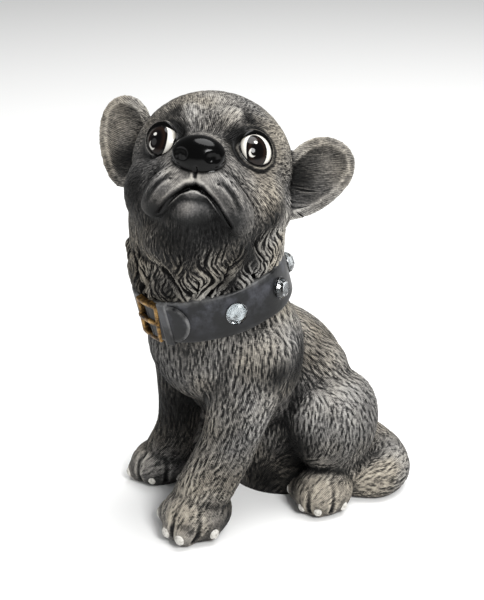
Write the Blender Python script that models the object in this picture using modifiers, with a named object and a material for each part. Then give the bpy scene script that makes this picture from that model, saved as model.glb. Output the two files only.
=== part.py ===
"""A sitting puppy cast in plaster, its collar and buckle moulded with it, glass stones glued to the collar.

The pose is laid out in units of which HEIGHT holds LAYOUT_HEIGHT, so a unit is a millimetre at that height.
The dog faces -Y and its left side is +X. The origin is the middle of the flat base under its rump.
"""

import math

import bmesh
import bpy
import numpy as np
from mathutils import Matrix, Vector
from mathutils.bvhtree import BVHTree
from mathutils.kdtree import KDTree

# The figure's height and the walls of its ears, in metres
HEIGHT = 0.216
EAR_WALL = 0.0045

# The collar, in metres
COLLAR_WIDTH = 0.021
COLLAR_THICKNESS = 0.0030
COLLAR_EDGE_RADIUS = 0.0009
STRAP_END_LENGTH = 0.0229
STRAP_END_WIDTH = 0.0186
STRAP_END_THICKNESS = 0.0016
KEEPER_WIDTH = 0.0046
KEEPER_THICKNESS = 0.0024
KEEPER_SPARE = 0.0006
KEEPER_GAP = 0.0012

# The buckle, in metres
BUCKLE_LENGTH = 0.0150
BUCKLE_HEIGHT = 0.0205
BUCKLE_BAR = 0.0026
BUCKLE_PROUD = 0.0022
PRONG_DIAMETER = 0.0026

# The stones, in metres: their spacing is measured round the collar
STONE_COUNT = 6
STONE_SPACING = 0.0276
STONE_DIAMETER = 0.0102
STONE_TABLE = 0.0051
STONE_GIRDLE = 0.0008
STONE_CROWN = 0.0030
STONE_FACETS = 10
STONE_GAP = 0.0003

# The layout, in its own unit
LAYOUT_HEIGHT = 216.0
UNIT = HEIGHT / LAYOUT_HEIGHT
BASE_CENTRE = (0, 33, 0)
NECK_RADIUS = 34.7
COLLAR_CENTRE = (0, -21, 122.2)
COLLAR_PITCH = -12.1
COLLAR_ROLL = -6.2
BUCKLE_TURN = math.radians(263)
FIRST_STONE_TURN = math.radians(332)
RUFF_LOCKS = 22
CLAW_RADII = (2.2, 1.7, 2.7)
EYE_RADIUS = 10.5
REACH = 80.0

# The skin, in the layout's unit: voxels of the rough masses and of the finished figure
MASS_VOXEL = 1.8
FORM_VOXEL = 1.25
MASS_SMOOTHING_COUNT = 14
FORM_SMOOTHING_COUNT = 3
CARVING_SMOOTHING_COUNT = 2
CAST_FACE_COUNT = 7600
COLLAR_STEPS = 64

# How deep a moulded detail is sunk in what carries it, and how finely it bends round the neck, in metres
COLLAR_ROOT = 0.008
DETAIL_ROOT = 0.001
BEND_STEP = 0.004
MERGE = 0.000001
COLLAR_RADIUS = NECK_RADIUS * UNIT + COLLAR_THICKNESS


def turned(centre, yaw=0.0, pitch=0.0, roll=0.0):
    """A place at centre, turned by yaw to the dog's left, raised by pitch and rolled left side down."""
    return (
        Matrix.Translation(Vector(centre))
        @ Matrix.Rotation(math.radians(yaw), 4, "Z")
        @ Matrix.Rotation(math.radians(-pitch), 4, "X")
        @ Matrix.Rotation(math.radians(roll), 4, "Y")
    )


BODY = Matrix.Translation(-Vector(BASE_CENTRE))
HEAD = BODY @ turned((0, -22, 178), yaw=38, pitch=28.5, roll=5.7)

# Each paw's place, and for each of its toes which way it points and how far out its claw is
LEFT_FOREPAW = BODY @ turned((11, -44, 0), yaw=7) @ Matrix.Scale(1.12, 4)
PAWS = [
    (LEFT_FOREPAW, ((-70, 18), (-14, 18), (13, 19.5), (66, 15))),
    (BODY @ turned((-40.5, -18.5, 0), yaw=-12), ((-62, 16), (-17, 19), (34, 15.5), (96, 13.5))),
    (BODY @ turned((42, 17, 0), yaw=12), ((-80, 18.5), (-15, 16.5), (17, 16.5), (74, 14))),
    (BODY @ turned((-42, 17, 0), yaw=-12), ((80, 18.5), (15, 16.5), (-17, 16.5), (-74, 14))),
]

# The opening of the lids in the eye's own place: its middle across and up, half its width and half its height
LIDS = {1: (0.6, 0.9, 8.7, 7.9), -1: (2.6, -0.4, 6.6, 7.5)}

COLLAR = Matrix.Scale(UNIT, 4) @ BODY @ turned(COLLAR_CENTRE, pitch=COLLAR_PITCH, roll=COLLAR_ROLL)
COLLAR = COLLAR @ Matrix.Scale(1 / UNIT, 4)


def ball(bm, place, centre, radii, yaw=0.0, pitch=0.0, roll=0.0):
    """An egg of clay pressed on at centre."""
    shape = place @ turned(centre, yaw, pitch, roll) @ Matrix.Diagonal((*radii, 1.0))
    bmesh.ops.create_uvsphere(bm, u_segments=24, v_segments=12, radius=1.0, matrix=shape)


def both(bm, place, centre, radii, yaw=0.0, pitch=0.0, roll=0.0):
    """The same egg on the left side and, mirrored, on the right."""
    x, y, z = centre
    ball(bm, place, (x, y, z), radii, yaw, pitch, roll)
    ball(bm, place, (-x, y, z), radii, -yaw, pitch, -roll)


def smooth_path(points, steps):
    """Points along the Catmull-Rom curve through points, whatever their number of coordinates."""
    knots = np.array([points[0], *points, points[-1]], float)
    out = []
    for a, b, c, d in zip(knots, knots[1:], knots[2:], knots[3:]):
        for t in np.linspace(0.0, 1.0, steps, endpoint=False):
            square = (2 * a - 5 * b + 4 * c - d) * t**2
            cube = (3 * b - a - 3 * c + d) * t**3
            out.append(0.5 * (2 * b + (c - a) * t + square + cube))
    out.append(knots[-1])
    return np.array(out)


def join(bm, other):
    """Adds a bmesh to bm."""
    mesh = bpy.data.meshes.new("joined")
    other.to_mesh(mesh)
    other.free()
    bm.from_mesh(mesh)
    bpy.data.meshes.remove(mesh)


def limb(bm, place, path, steps=7):
    """A roll of clay along path, whose points are x, y, z and the radius there."""
    roll = bmesh.new()
    for x, y, z, radius in smooth_path(path, steps):
        at = place @ Matrix.Translation((x, y, z)) @ Matrix.Scale(radius, 4)
        bmesh.ops.create_icosphere(roll, subdivisions=2, radius=1.0, matrix=at)
    join(bm, roll)


def torso(bm):
    ball(bm, BODY, (-3, -23, 93), (32, 26, 31))
    ball(bm, BODY, (0, -3, 80), (34, 31, 44), pitch=-18)
    ball(bm, BODY, (0, 33, 41), (40, 34, 41))
    both(bm, BODY, (25, -11, 91), (18, 22, 32))
    limb(bm, BODY, [(2, 17, 72, 31), (3, 29, 58, 33.5), (0, 31, 36, 32), (0, 33, 4, 31)])
    limb(bm, BODY, [(0, -11, 96, 34), (0, -21, 121, 34.5), (-1, -23, 138, 37), (-1, -23, 158, 38)])
    limb(bm, BODY, [(15, -40, 164, 24), (12, -38, 148, 23), (6, -32, 130, 22)])


def legs(bm):
    elbow = [(27, -17, 94, 20), (21, -23, 66, 16.5), (17, -28.5, 44, 14.5)]
    limb(bm, BODY, elbow + [(13, -39, 25, 14.5), (10, -44, 14, 14)])
    limb(bm, BODY, [(-28, -14, 92, 18), (-31, -14, 60, 12.5), (-33, -14, 34, 11.5), (-39, -19, 14, 12)])
    both(bm, BODY, (37, 32, 40.5), (18.5, 27, 28.5), pitch=12)
    both(bm, BODY, (35, 18, 46), (14, 15, 20))
    both(bm, BODY, (25, 31, 67), (15, 17, 18))
    for side in (1, -1):
        limb(bm, BODY, [(side * 41, 42, 12, 12), (side * 40, 24, 12, 12)])


def tail(bm):
    start = [(4, 60, 23, 14), (22, 70, 14, 12), (40, 69, 10.5, 11.5)]
    end = [(53, 59, 9.5, 11), (56, 47, 9, 10.5), (50, 39, 8.5, 9.5), (42, 36, 8, 8)]
    limb(bm, BODY, start + end)


def skull(bm):
    ball(bm, HEAD, (0, 5, 5), (38.5, 38, 35.5))
    both(bm, HEAD, (20, -7, -12), (18, 22, 20))
    both(bm, HEAD, (14, -20, -12), (15, 17, 16))
    both(bm, HEAD, (9, -24, 19), (10, 7, 9))
    ball(bm, HEAD, (2, 6, -22), (33, 30, 22))
    ball(bm, HEAD, (0, -30, -8), (20, 20, 15))
    ball(bm, HEAD, (0, -30, 3), (12, 18, 9))
    ball(bm, HEAD, (0, -19, -26), (20, 19, 12))
    ball(bm, HEAD, (0, -8, -34), (27, 24, 18))
    ball(bm, BODY, (0, -19, 162), (37.5, 37, 26))


def toe_place(paw, toe):
    """The middle of a toe, pointing along its own -Y."""
    way, reach = toe
    return paw @ turned((0, 0, 0), yaw=way) @ Matrix.Translation((0, 8 - reach, 6.5))


def paws(bm):
    """A rounded paw with four toes round its front, a claw low on the tip of each."""
    for paw, toes in PAWS:
        ball(bm, paw, (0, -1, 9.5), (15, 17.5, 12.5))
        for toe in toes:
            ball(bm, toe_place(paw, toe), (0, 0, 0), (6.6, 8.8, 7.5))
            ball(bm, toe_place(paw, toe), (0, -7.9, -1.2), CLAW_RADII)


def eye_place(side):
    """The eyeball's place, looking along its own -Y; side is 1 on the left and -1 on the right."""
    return HEAD @ turned((side * 18.6, -20.3, 7), yaw=side * 30, pitch=5)


def lid_point(side, angle, spread=1.0):
    """A point of the rim of the lids in the eye's own place, or of the fold outside it."""
    middle_x, middle_z, half_width, half_height = LIDS[side]
    x = middle_x + half_width * math.cos(angle) * spread
    z = middle_z + half_height * math.sin(angle) * spread
    return x, 0.3 - math.sqrt(max(EYE_RADIUS**2 - x * x - z * z, 0)), z


def eyes(bm):
    for side in (1, -1):
        place = eye_place(side)
        ball(bm, place, (0, 0, 0), (EYE_RADIUS,) * 3)
        turns = np.linspace(0, math.tau, 19)
        rim = [(*lid_point(side, turn), 1.3 + 0.5 * max(math.sin(turn), 0)) for turn in turns]
        limb(bm, place, rim, steps=3)


def face(bm):
    """The nose, the two halves of the upper lip that hang from under it, and the chin between them."""
    ball(bm, HEAD, (0, -46.5, -1), (12, 7.5, 8.5))
    for side in (1, -1):
        lip = [(3, -43, -9.5, 6), (9, -41.5, -12.5, 7.2), (14.5, -38, -17.5, 7.6)]
        lip += [(19, -34, -22.5, 7.4), (20.5, -32, -26, 6.4)] if side == 1 else [(18, -33, -22.5, 6.4)]
        limb(bm, HEAD, [(side * x, y, z, radius) for x, y, z, radius in lip])
    ball(bm, HEAD, (0, -31, -23), (13, 10.5, 8.5))


def ear(bm, place, side, half_width, half_length, depth):
    """A hollowed leaf: half an egg shell, wider and leaning outwards at its tip, open to the dog's front."""
    shell = bmesh.new()
    bmesh.ops.create_uvsphere(shell, u_segments=28, v_segments=18, radius=1.0)
    everything = shell.verts[:] + shell.edges[:] + shell.faces[:]
    bmesh.ops.bisect_plane(
        shell, geom=everything, plane_co=(0, 0.1, 0), plane_no=(0, -1, 0), clear_outer=True
    )
    for vert in shell.verts:
        vert.co.x *= 1 + 0.2 * vert.co.z
        vert.co.x += 0.15 * side * max(vert.co.z, 0) ** 2
    size = Matrix.Diagonal((half_width, depth, half_length, 1.0))
    bmesh.ops.transform(shell, matrix=size, verts=shell.verts)
    bmesh.ops.recalc_face_normals(shell, faces=shell.faces)
    bmesh.ops.solidify(shell, geom=shell.faces[:], thickness=EAR_WALL / UNIT)
    bmesh.ops.transform(shell, matrix=place, verts=shell.verts)
    join(bm, shell)


def ears(bm):
    left = HEAD @ turned((47, 7, 5.2), yaw=24, roll=37)
    right = HEAD @ turned((-44, 7, 12.4), yaw=-24, roll=-9)
    ear(bm, left, 1, half_width=15.5, half_length=26, depth=9)
    ear(bm, right, -1, half_width=15, half_length=23.5, depth=9)


def from_bmesh(name, bm):
    """A new object holding bm."""
    mesh = bpy.data.meshes.new(name)
    bm.to_mesh(mesh)
    bm.free()
    made = bpy.data.objects.new(name, mesh)
    PARTS.objects.link(made)
    return made


def settle(thing):
    """Replaces the object's mesh by what its modifiers make of it."""
    graph = bpy.context.evaluated_depsgraph_get()
    mesh = bpy.data.meshes.new_from_object(thing.evaluated_get(graph))
    thing.modifiers.clear()
    old = thing.data
    thing.data = mesh
    bpy.data.meshes.remove(old)


def knead(thing, voxel, smoothing):
    """Melts overlapping shapes into one skin and rounds the joints between them."""
    remesh = thing.modifiers.new("one skin", "REMESH")
    remesh.mode = "VOXEL"
    remesh.voxel_size = voxel
    smooth = thing.modifiers.new("rounded", "SMOOTH")
    smooth.factor = 0.5
    smooth.iterations = smoothing
    settle(thing)


class Clay:
    """The points of a mesh, pushed about by hand and tool."""

    def __init__(self, thing):
        self.mesh = thing.data
        count = len(self.mesh.vertices)
        self.start = np.empty((count, 3), np.float32)
        self.mesh.vertices.foreach_get("co", self.start.ravel())
        self.normals = np.empty((count, 3), np.float32)
        self.mesh.vertex_normals.foreach_get("vector", self.normals.ravel())
        self.points = self.start.copy()
        self.tree = KDTree(count)
        for index, point in enumerate(self.start):
            self.tree.insert(point, index)
        self.tree.balance()
        self.skin = BVHTree.FromPolygons(self.start, [p.vertices for p in self.mesh.polygons])

    def near(self, centre, radius):
        """Indices of the points within radius of centre, and how strongly a soft tool there moves each."""
        found = self.tree.find_range(Vector(centre), radius)
        distance = np.array([f[2] for f in found])
        return np.array([f[1] for f in found], int), (1 - (distance / radius) ** 2) ** 2

    def groove(self, line, width, depth, inward=None):
        """Cuts a round groove of that half width and depth along line, straight inward if that is given."""
        deepest = np.zeros(len(self.points))
        line = np.array(line)
        depths = np.broadcast_to(depth, len(line))
        for a, b, depth_a, depth_b in zip(line, line[1:], depths, depths[1:]):
            for t in np.linspace(0, 1, 2 + int(4 * np.linalg.norm(b - a) / width)):
                index, strength = self.near(a + (b - a) * t, width)
                deepest[index] = np.maximum(deepest[index], (depth_a + (depth_b - depth_a) * t) * strength)
        way = -self.normals if inward is None else np.array(inward)
        self.points += way * deepest[:, None]

    def struck(self, place, x, z):
        """Where the skin is first met by a straight line that comes in from the front of place at x, z."""
        inward = (place.to_3x3() @ Vector((0, 1, 0))).normalized()
        return self.skin.ray_cast(place @ Vector((x, -REACH, z)), inward)[0]

    def nearest(self, point):
        """The point of the skin nearest to point."""
        return self.skin.find_nearest(Vector(point))[0]

    def done(self):
        self.mesh.vertices.foreach_set("co", self.points.ravel())
        self.mesh.update()


def head_line(clay, points):
    """A line on the skin of the head, from a few places across and up its face."""
    return [clay.struck(HEAD, x, z) for x, z in smooth_path(points, steps=8)]


def carve_face(clay):
    """Nostrils, frown, mouth, the line from nose to lip and the folds round the eyes."""
    front = HEAD.to_3x3() @ Vector((0, -1, 0))
    for side in (1, -1):
        nostril = [(side * 5.5, -3.5), (side * 7.5, -2.2), (side * 9, -3)]
        clay.groove(head_line(clay, nostril), 2.4, 1.6, -front)
        clay.groove(head_line(clay, [(side * 17.5, 24), (side * 14, 18), (side * 12, 12)]), 5.5, 1.6)
        corner = (16.5, -29) if side == 1 else (-15, -27)
        mouth = [(0, -15.0), (side * 4, -16.4), (side * 9.5, -20.8), corner]
        clay.groove(head_line(clay, mouth), 3.0, 3.0, -front)
        fold = [eye_place(side) @ Vector(lid_point(side, turn, 1.2)) for turn in np.linspace(0, math.tau, 60)]
        clay.groove([clay.nearest(p) for p in fold], 2.2, 0.8)
    clay.groove(head_line(clay, [(0, -8), (0, -11), (0, -15)]), 1.8, 1.2, -front)


def carve_ruff(clay):
    """Wavy locks round the neck, parted by grooves that run down to the collar."""
    downward = np.linspace(0, 1, 14)
    depths = 2.2 * np.sin(0.2 + 2.4 * downward)
    for lock in range(RUFF_LOCKS):
        turn = math.tau * lock / RUFF_LOCKS
        line = []
        for t in downward:
            sway = 0.055 * math.sin(7 * t + 2.4 * lock)
            height = 166 - 42 * t - 6 * math.sin(turn)
            spoke = BODY @ turned((-0.5, -22, height), yaw=math.degrees(turn + sway))
            line.append(clay.struck(spoke, 0, 0))
        clay.groove(line, 3.4, depths)


def carve_toes(clay):
    """Three creases in each paw, between its toes."""
    rise = [(-19, 1), (-18, 7), (-14, 13), (-9, 17)]
    fade = np.linspace(1, 0.1, 10)
    for paw, toes in PAWS:
        for (way, _), (next_way, _) in zip(toes, toes[1:]):
            crease = paw @ turned((0, 0, 0), yaw=(way + next_way) / 2)
            line = [clay.nearest(crease @ Vector((0, y, z))) for y, z in smooth_path(rise, steps=3)]
            clay.groove(line, 2.4, 1.6 * fade)


def build_cast():
    """The plaster figure: rough masses first, then the finer forms, then what is cut with a tool."""
    bm = bmesh.new()
    for shape in (torso, legs, tail, skull):
        shape(bm)
    cast = from_bmesh("dog_figure", bm)
    knead(cast, MASS_VOXEL, MASS_SMOOTHING_COUNT)

    bm = bmesh.new()
    for shape in (paws, eyes, face, ears):
        shape(bm)
    bm.from_mesh(cast.data)
    bm.to_mesh(cast.data)
    bm.free()
    knead(cast, FORM_VOXEL, FORM_SMOOTHING_COUNT)

    clay = Clay(cast)
    carve_face(clay)
    carve_ruff(clay)
    carve_toes(clay)
    clay.done()
    return cast


def thin_out(cast):
    """Fewer, larger faces where the form is plain."""
    smooth = cast.modifiers.new("rounded", "SMOOTH")
    smooth.iterations = CARVING_SMOOTHING_COUNT
    fewer = cast.modifiers.new("fewer faces", "DECIMATE")
    fewer.ratio = CAST_FACE_COUNT / sum(len(p.vertices) - 2 for p in cast.data.polygons)
    settle(cast)


def flat_underside(cast):
    """Cuts the figure off flat at the surface that it sits on."""
    bm = bmesh.new()
    bm.from_mesh(cast.data)
    everything = bm.verts[:] + bm.edges[:] + bm.faces[:]
    cut = bmesh.ops.bisect_plane(
        bm, geom=everything, plane_co=(0, 0, 0), plane_no=(0, 0, -1), clear_outer=True
    )
    bmesh.ops.holes_fill(bm, edges=[e for e in cut["geom_cut"] if isinstance(e, bmesh.types.BMEdge)])
    bmesh.ops.recalc_face_normals(bm, faces=bm.faces)
    bm.to_mesh(cast.data)
    bm.free()


def wrapped(name, bm):
    """A solid from a shape laid on the collar: X along it from the buckle, Z across it, Y off its face."""
    for vert in bm.verts:
        along, off, across = vert.co
        turn = BUCKLE_TURN + along / COLLAR_RADIUS
        out = COLLAR_RADIUS + off
        vert.co = COLLAR @ Vector((out * math.cos(turn), out * math.sin(turn), across))
    bmesh.ops.recalc_face_normals(bm, faces=bm.faces)
    return from_bmesh(name, bm)


def collar_band():
    """A flat band with rounded edges, spun round the neck and sunk in it."""
    half = COLLAR_WIDTH / 2
    root = COLLAR_RADIUS - COLLAR_ROOT
    upper = []
    for turn in (90, 45, 0):
        x = COLLAR_RADIUS + COLLAR_EDGE_RADIUS * (math.cos(math.radians(turn)) - 1)
        upper.append((x, half + COLLAR_EDGE_RADIUS * (math.sin(math.radians(turn)) - 1)))
    lower = [(x, -z) for x, z in reversed(upper)]
    bm = bmesh.new()
    verts = [bm.verts.new((x, 0, z)) for x, z in [(root, half), *upper, *lower, (root, -half)]]
    edges = [bm.edges.new(pair) for pair in zip(verts, verts[1:] + verts[:1])]
    bmesh.ops.spin(bm, geom=verts + edges, axis=(0, 0, 1), angle=math.tau, steps=COLLAR_STEPS, use_merge=True)
    bmesh.ops.transform(bm, matrix=COLLAR, verts=bm.verts)
    bmesh.ops.recalc_face_normals(bm, faces=bm.faces)
    return from_bmesh("collar_band", bm)


def strap_end():
    """The free end of the strap, with a round tip, lying on the band past the buckle."""
    bm = bmesh.new()
    half = STRAP_END_WIDTH / 2
    bmesh.ops.create_circle(bm, cap_ends=True, segments=24, radius=half)
    for vert in bm.verts:
        along = vert.co.x + STRAP_END_LENGTH - half if vert.co.x > 0 else 0
        vert.co = (along, -DETAIL_ROOT, vert.co.y)
    grown = bmesh.ops.extrude_face_region(bm, geom=bm.faces[:])
    lifted = [g for g in grown["geom"] if isinstance(g, bmesh.types.BMVert)]
    bmesh.ops.translate(bm, vec=(0, DETAIL_ROOT + STRAP_END_THICKNESS, 0), verts=lifted)
    bends = math.ceil(STRAP_END_LENGTH / BEND_STEP)
    for n in range(1, bends):
        everything = bm.verts[:] + bm.edges[:] + bm.faces[:]
        place = (STRAP_END_LENGTH * n / bends, 0, 0)
        bmesh.ops.bisect_plane(bm, geom=everything, plane_co=place, plane_no=(1, 0, 0))
    return wrapped("strap_end", bm)


def keeper():
    """The loop beside the buckle that holds the strap end down."""
    bm = bmesh.new()
    size = (KEEPER_WIDTH, KEEPER_THICKNESS + DETAIL_ROOT, COLLAR_WIDTH + KEEPER_SPARE, 1)
    along = BUCKLE_LENGTH / 2 + KEEPER_GAP + KEEPER_WIDTH / 2
    middle = Matrix.Translation((along, (KEEPER_THICKNESS - DETAIL_ROOT) / 2, 0))
    bmesh.ops.create_cube(bm, size=1.0, matrix=middle @ Matrix.Diagonal(size))
    outer = [e for e in bm.edges if min(v.co.y for v in e.verts) > 0]
    bmesh.ops.bevel(
        bm, geom=outer, offset=KEEPER_THICKNESS * 0.3, segments=1, profile=0.5, affect="EDGES", material=-1
    )
    return wrapped("keeper", bm)


def bent_bar(name, points, diameter, cyclic):
    """A round bar along points, laid on the collar."""
    data = bpy.data.curves.new(name, "CURVE")
    data.dimensions = "3D"
    spline = data.splines.new("POLY")
    spline.points.add(len(points) - 1)
    for point, place in zip(spline.points, points):
        point.co = (*place, 1.0)
    spline.use_cyclic_u = cyclic
    data.bevel_depth = diameter / 2
    data.bevel_resolution = 1
    data.use_fill_caps = True
    curve = bpy.data.objects.new(name, data)
    PARTS.objects.link(curve)
    graph = bpy.context.evaluated_depsgraph_get()
    bm = bmesh.new()
    bm.from_mesh(bpy.data.meshes.new_from_object(curve.evaluated_get(graph)))
    bpy.data.objects.remove(curve)
    bmesh.ops.remove_doubles(bm, verts=bm.verts, dist=MERGE)
    return wrapped(name, bm)


def buckle_frame():
    """A rectangular loop with round corners, half sunk in the strap."""
    corner = BUCKLE_BAR * 0.8
    long = (BUCKLE_LENGTH - BUCKLE_BAR) / 2 - corner
    high = (BUCKLE_HEIGHT - BUCKLE_BAR) / 2 - corner
    points = []
    for turn in (0, 30, 60, 90, 90, 120, 150, 180, 180, 210, 240, 270, 270, 300, 330, 360):
        quarter = len(points) // 4
        x = long * (1, -1, -1, 1)[quarter] + corner * math.cos(math.radians(turn))
        z = high * (1, 1, -1, -1)[quarter] + corner * math.sin(math.radians(turn))
        points.append((x, BUCKLE_PROUD - BUCKLE_BAR / 2, z))
    return bent_bar("buckle_frame", points, BUCKLE_BAR, True)


def buckle_prong():
    """The prong, arched over the strap from the back bar to the front one."""
    points = []
    for t in np.linspace(-1, 1, 7):
        points.append((t * BUCKLE_LENGTH / 2, BUCKLE_PROUD - PRONG_DIAMETER * 0.2 * t * t, 0))
    return bent_bar("buckle_prong", points, PRONG_DIAMETER, False)


def mould_on(cast, pieces):
    """Makes the pieces one with the cast."""
    for piece in pieces:
        union = cast.modifiers.new("joined", "BOOLEAN")
        union.operation = "UNION"
        union.solver = "EXACT"
        union.object = piece
        settle(cast)
        bpy.data.objects.remove(piece)


def rhinestone(number):
    """A flat-backed stone: a thin girdle, a ring of slanted facets and a flat table."""
    bm = bmesh.new()
    radius = STONE_DIAMETER / 2
    lift = Matrix.Translation((0, 0, STONE_GIRDLE / 2))
    bmesh.ops.create_cone(
        bm,
        cap_ends=True,
        segments=STONE_FACETS,
        radius1=radius,
        radius2=radius,
        depth=STONE_GIRDLE,
        matrix=lift,
    )
    top = max(bm.faces, key=lambda face: face.calc_center_median().z)
    inset = (radius - STONE_TABLE / 2) * math.cos(math.pi / STONE_FACETS)
    bmesh.ops.inset_individual(bm, faces=[top], thickness=inset, depth=STONE_CROWN, use_even_offset=True)
    turn = Matrix.Rotation(FIRST_STONE_TURN + number * STONE_SPACING / COLLAR_RADIUS, 4, "Z")
    out = Matrix.Translation((COLLAR_RADIUS + STONE_GAP, 0, 0)) @ Matrix.Rotation(math.pi / 2, 4, "Y")
    bmesh.ops.transform(bm, matrix=COLLAR @ turn @ out, verts=bm.verts)
    bmesh.ops.recalc_face_normals(bm, faces=bm.faces)
    return from_bmesh(f"rhinestone_{number + 1}", bm)


def material(name, colour, roughness, transmission=0.0):
    made = bpy.data.materials.new(name)
    made.use_nodes = True
    shader = made.node_tree.nodes["Principled BSDF"]
    shader.inputs["Base Color"].default_value = (*colour, 1.0)
    shader.inputs["Roughness"].default_value = roughness
    shader.inputs["Transmission Weight"].default_value = transmission
    return made


for old in list(bpy.data.objects):
    bpy.data.objects.remove(old)
PARTS = bpy.data.collections.new("plaster_dog")
bpy.context.scene.collection.children.link(PARTS)

dog = build_cast()
thin_out(dog)
flat_underside(dog)
dog.data.transform(Matrix.Scale(UNIT, 4))
mould_on(dog, [collar_band(), keeper(), strap_end(), buckle_frame(), buckle_prong()])
dog.data.materials.append(material("painted_plaster", (0.13, 0.13, 0.13), 0.6))
dog.data.shade_smooth()
dog.data.set_sharp_from_angle(angle=math.radians(50))

glass = material("clear_glass", (0.95, 0.96, 0.97), 0.03, 1.0)
for number in range(STONE_COUNT):
    rhinestone(number).data.materials.append(glass)
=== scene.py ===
# %% [markdown]
# # A sitting puppy in painted plaster
#
# The real object is a garden or shelf figurine, cast in plaster in a rubber mould. The mould carries
# every hair, so the fur is part of the cast: short strokes cut in the clay of the master, painted
# charcoal and then dry brushed with light grey. This lesson models it in that order: clay masses, finer
# forms, hair, paint.
#
# The imported model comes first. It gives the frame that every piece rides on.

# %% Load the frame
import math

import bmesh
import bpy
import numpy as np
from mathutils import Matrix, Vector
from mathutils.bvhtree import BVHTree
from mathutils.kdtree import KDTree


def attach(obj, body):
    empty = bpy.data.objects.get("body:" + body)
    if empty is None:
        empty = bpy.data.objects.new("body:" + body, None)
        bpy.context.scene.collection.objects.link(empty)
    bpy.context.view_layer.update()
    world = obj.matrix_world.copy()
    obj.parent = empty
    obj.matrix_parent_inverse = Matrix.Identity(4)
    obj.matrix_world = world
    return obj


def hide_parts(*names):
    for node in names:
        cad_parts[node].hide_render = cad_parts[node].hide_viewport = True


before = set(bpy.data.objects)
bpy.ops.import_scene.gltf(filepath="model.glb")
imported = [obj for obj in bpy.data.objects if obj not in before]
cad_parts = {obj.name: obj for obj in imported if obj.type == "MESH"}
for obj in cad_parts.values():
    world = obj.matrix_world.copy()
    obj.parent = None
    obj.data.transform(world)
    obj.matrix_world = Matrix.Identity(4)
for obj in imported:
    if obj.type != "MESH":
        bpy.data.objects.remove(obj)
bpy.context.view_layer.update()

# %% [markdown]
# ## Camera
#
# The picture looks down at the dog from its front left. A long lens keeps the perspective as flat as it
# is there. The camera stands on a circle round a target in the middle of the dog, so two angles and a
# distance place it.

# %% Camera
TARGET = Vector((0, -0.033, 0.108))
AZIMUTH = math.radians(43)
ELEVATION = math.radians(22)
DISTANCE = 0.650

towards = Vector((math.sin(AZIMUTH), -math.cos(AZIMUTH), 0)) * math.cos(ELEVATION)
towards.z = math.sin(ELEVATION)
camera = bpy.data.objects.new("camera", bpy.data.cameras.new("camera"))
camera.data.sensor_fit = "VERTICAL"
camera.data.sensor_height = 36
camera.data.lens = 78
camera.data.clip_start = 0.01
camera.location = TARGET + DISTANCE * towards
camera.rotation_euler = (-towards).to_track_quat("-Z", "Y").to_euler()
bpy.context.scene.collection.objects.link(camera)
bpy.context.scene.camera = camera
print("camera at", [round(value, 3) for value in camera.location])

# %% [markdown]
# ## Clay tools: eggs and rolls
#
# A modeller builds an animal from eggs and rolls of clay pressed together, and so does this script.
# Everything is laid out in millimetres, dog facing -Y, and brought to metres at the end. A `place` is a
# matrix: a spot on the dog with its own turn, so that the head can be modelled upright and still sit
# tilted on the neck.

# %% Places on the dog
UNIT = 0.001


def turned(centre, yaw=0.0, pitch=0.0, roll=0.0):
    """A place at centre, turned by yaw to the dog's left, raised by pitch and rolled left side down."""
    return (
        Matrix.Translation(Vector(centre))
        @ Matrix.Rotation(math.radians(yaw), 4, "Z")
        @ Matrix.Rotation(math.radians(-pitch), 4, "X")
        @ Matrix.Rotation(math.radians(roll), 4, "Y")
    )


BODY = Matrix.Translation((0, -33, 0))
HEAD = BODY @ turned((0, -22, 178), yaw=38, pitch=28.5, roll=5.7)
NECK = BODY @ turned((0, -21, 122.2), pitch=-12.1, roll=-6.2)

# Each paw's place, and for each of its toes which way it points and how far out its claw is
PAWS = [
    (
        BODY @ turned((11, -44, 0), yaw=7) @ Matrix.Scale(1.12, 4),
        ((-70, 18), (-14, 18), (13, 19.5), (66, 15)),
    ),
    (BODY @ turned((-40.5, -18.5, 0), yaw=-12), ((-62, 16), (-17, 19), (34, 15.5), (96, 13.5))),
    (BODY @ turned((42, 17, 0), yaw=12), ((-80, 18.5), (-15, 16.5), (17, 16.5), (74, 14))),
    (BODY @ turned((-42, 17, 0), yaw=-12), ((80, 18.5), (15, 16.5), (-17, 16.5), (-74, 14))),
]
print("the head looks towards", [round(value, 2) for value in HEAD.to_3x3() @ Vector((0, -1, 0))])

# %% Eggs and rolls


def ball(bm, place, centre, radii, pitch=0.0):
    """An egg of clay pressed on at centre."""
    shape = place @ turned(centre, pitch=pitch) @ Matrix.Diagonal((*radii, 1.0))
    bmesh.ops.create_uvsphere(bm, u_segments=32, v_segments=16, radius=1.0, matrix=shape)


def both(bm, place, centre, radii, pitch=0.0):
    """The same egg on the left side and, mirrored, on the right."""
    x, y, z = centre
    ball(bm, place, (x, y, z), radii, pitch)
    ball(bm, place, (-x, y, z), radii, pitch)


def smooth_path(points, steps):
    """Points along the Catmull-Rom curve through points, whatever their number of coordinates."""
    knots = np.array([points[0], *points, points[-1]], float)
    out = []
    for a, b, c, d in zip(knots, knots[1:], knots[2:], knots[3:]):
        for t in np.linspace(0.0, 1.0, steps, endpoint=False):
            square = (2 * a - 5 * b + 4 * c - d) * t**2
            cube = (3 * b - a - 3 * c + d) * t**3
            out.append(0.5 * (2 * b + (c - a) * t + square + cube))
    out.append(knots[-1])
    return np.array(out)


def join(bm, other):
    """Adds a bmesh to bm."""
    mesh = bpy.data.meshes.new("joined")
    other.to_mesh(mesh)
    other.free()
    bm.from_mesh(mesh)
    bpy.data.meshes.remove(mesh)


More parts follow.
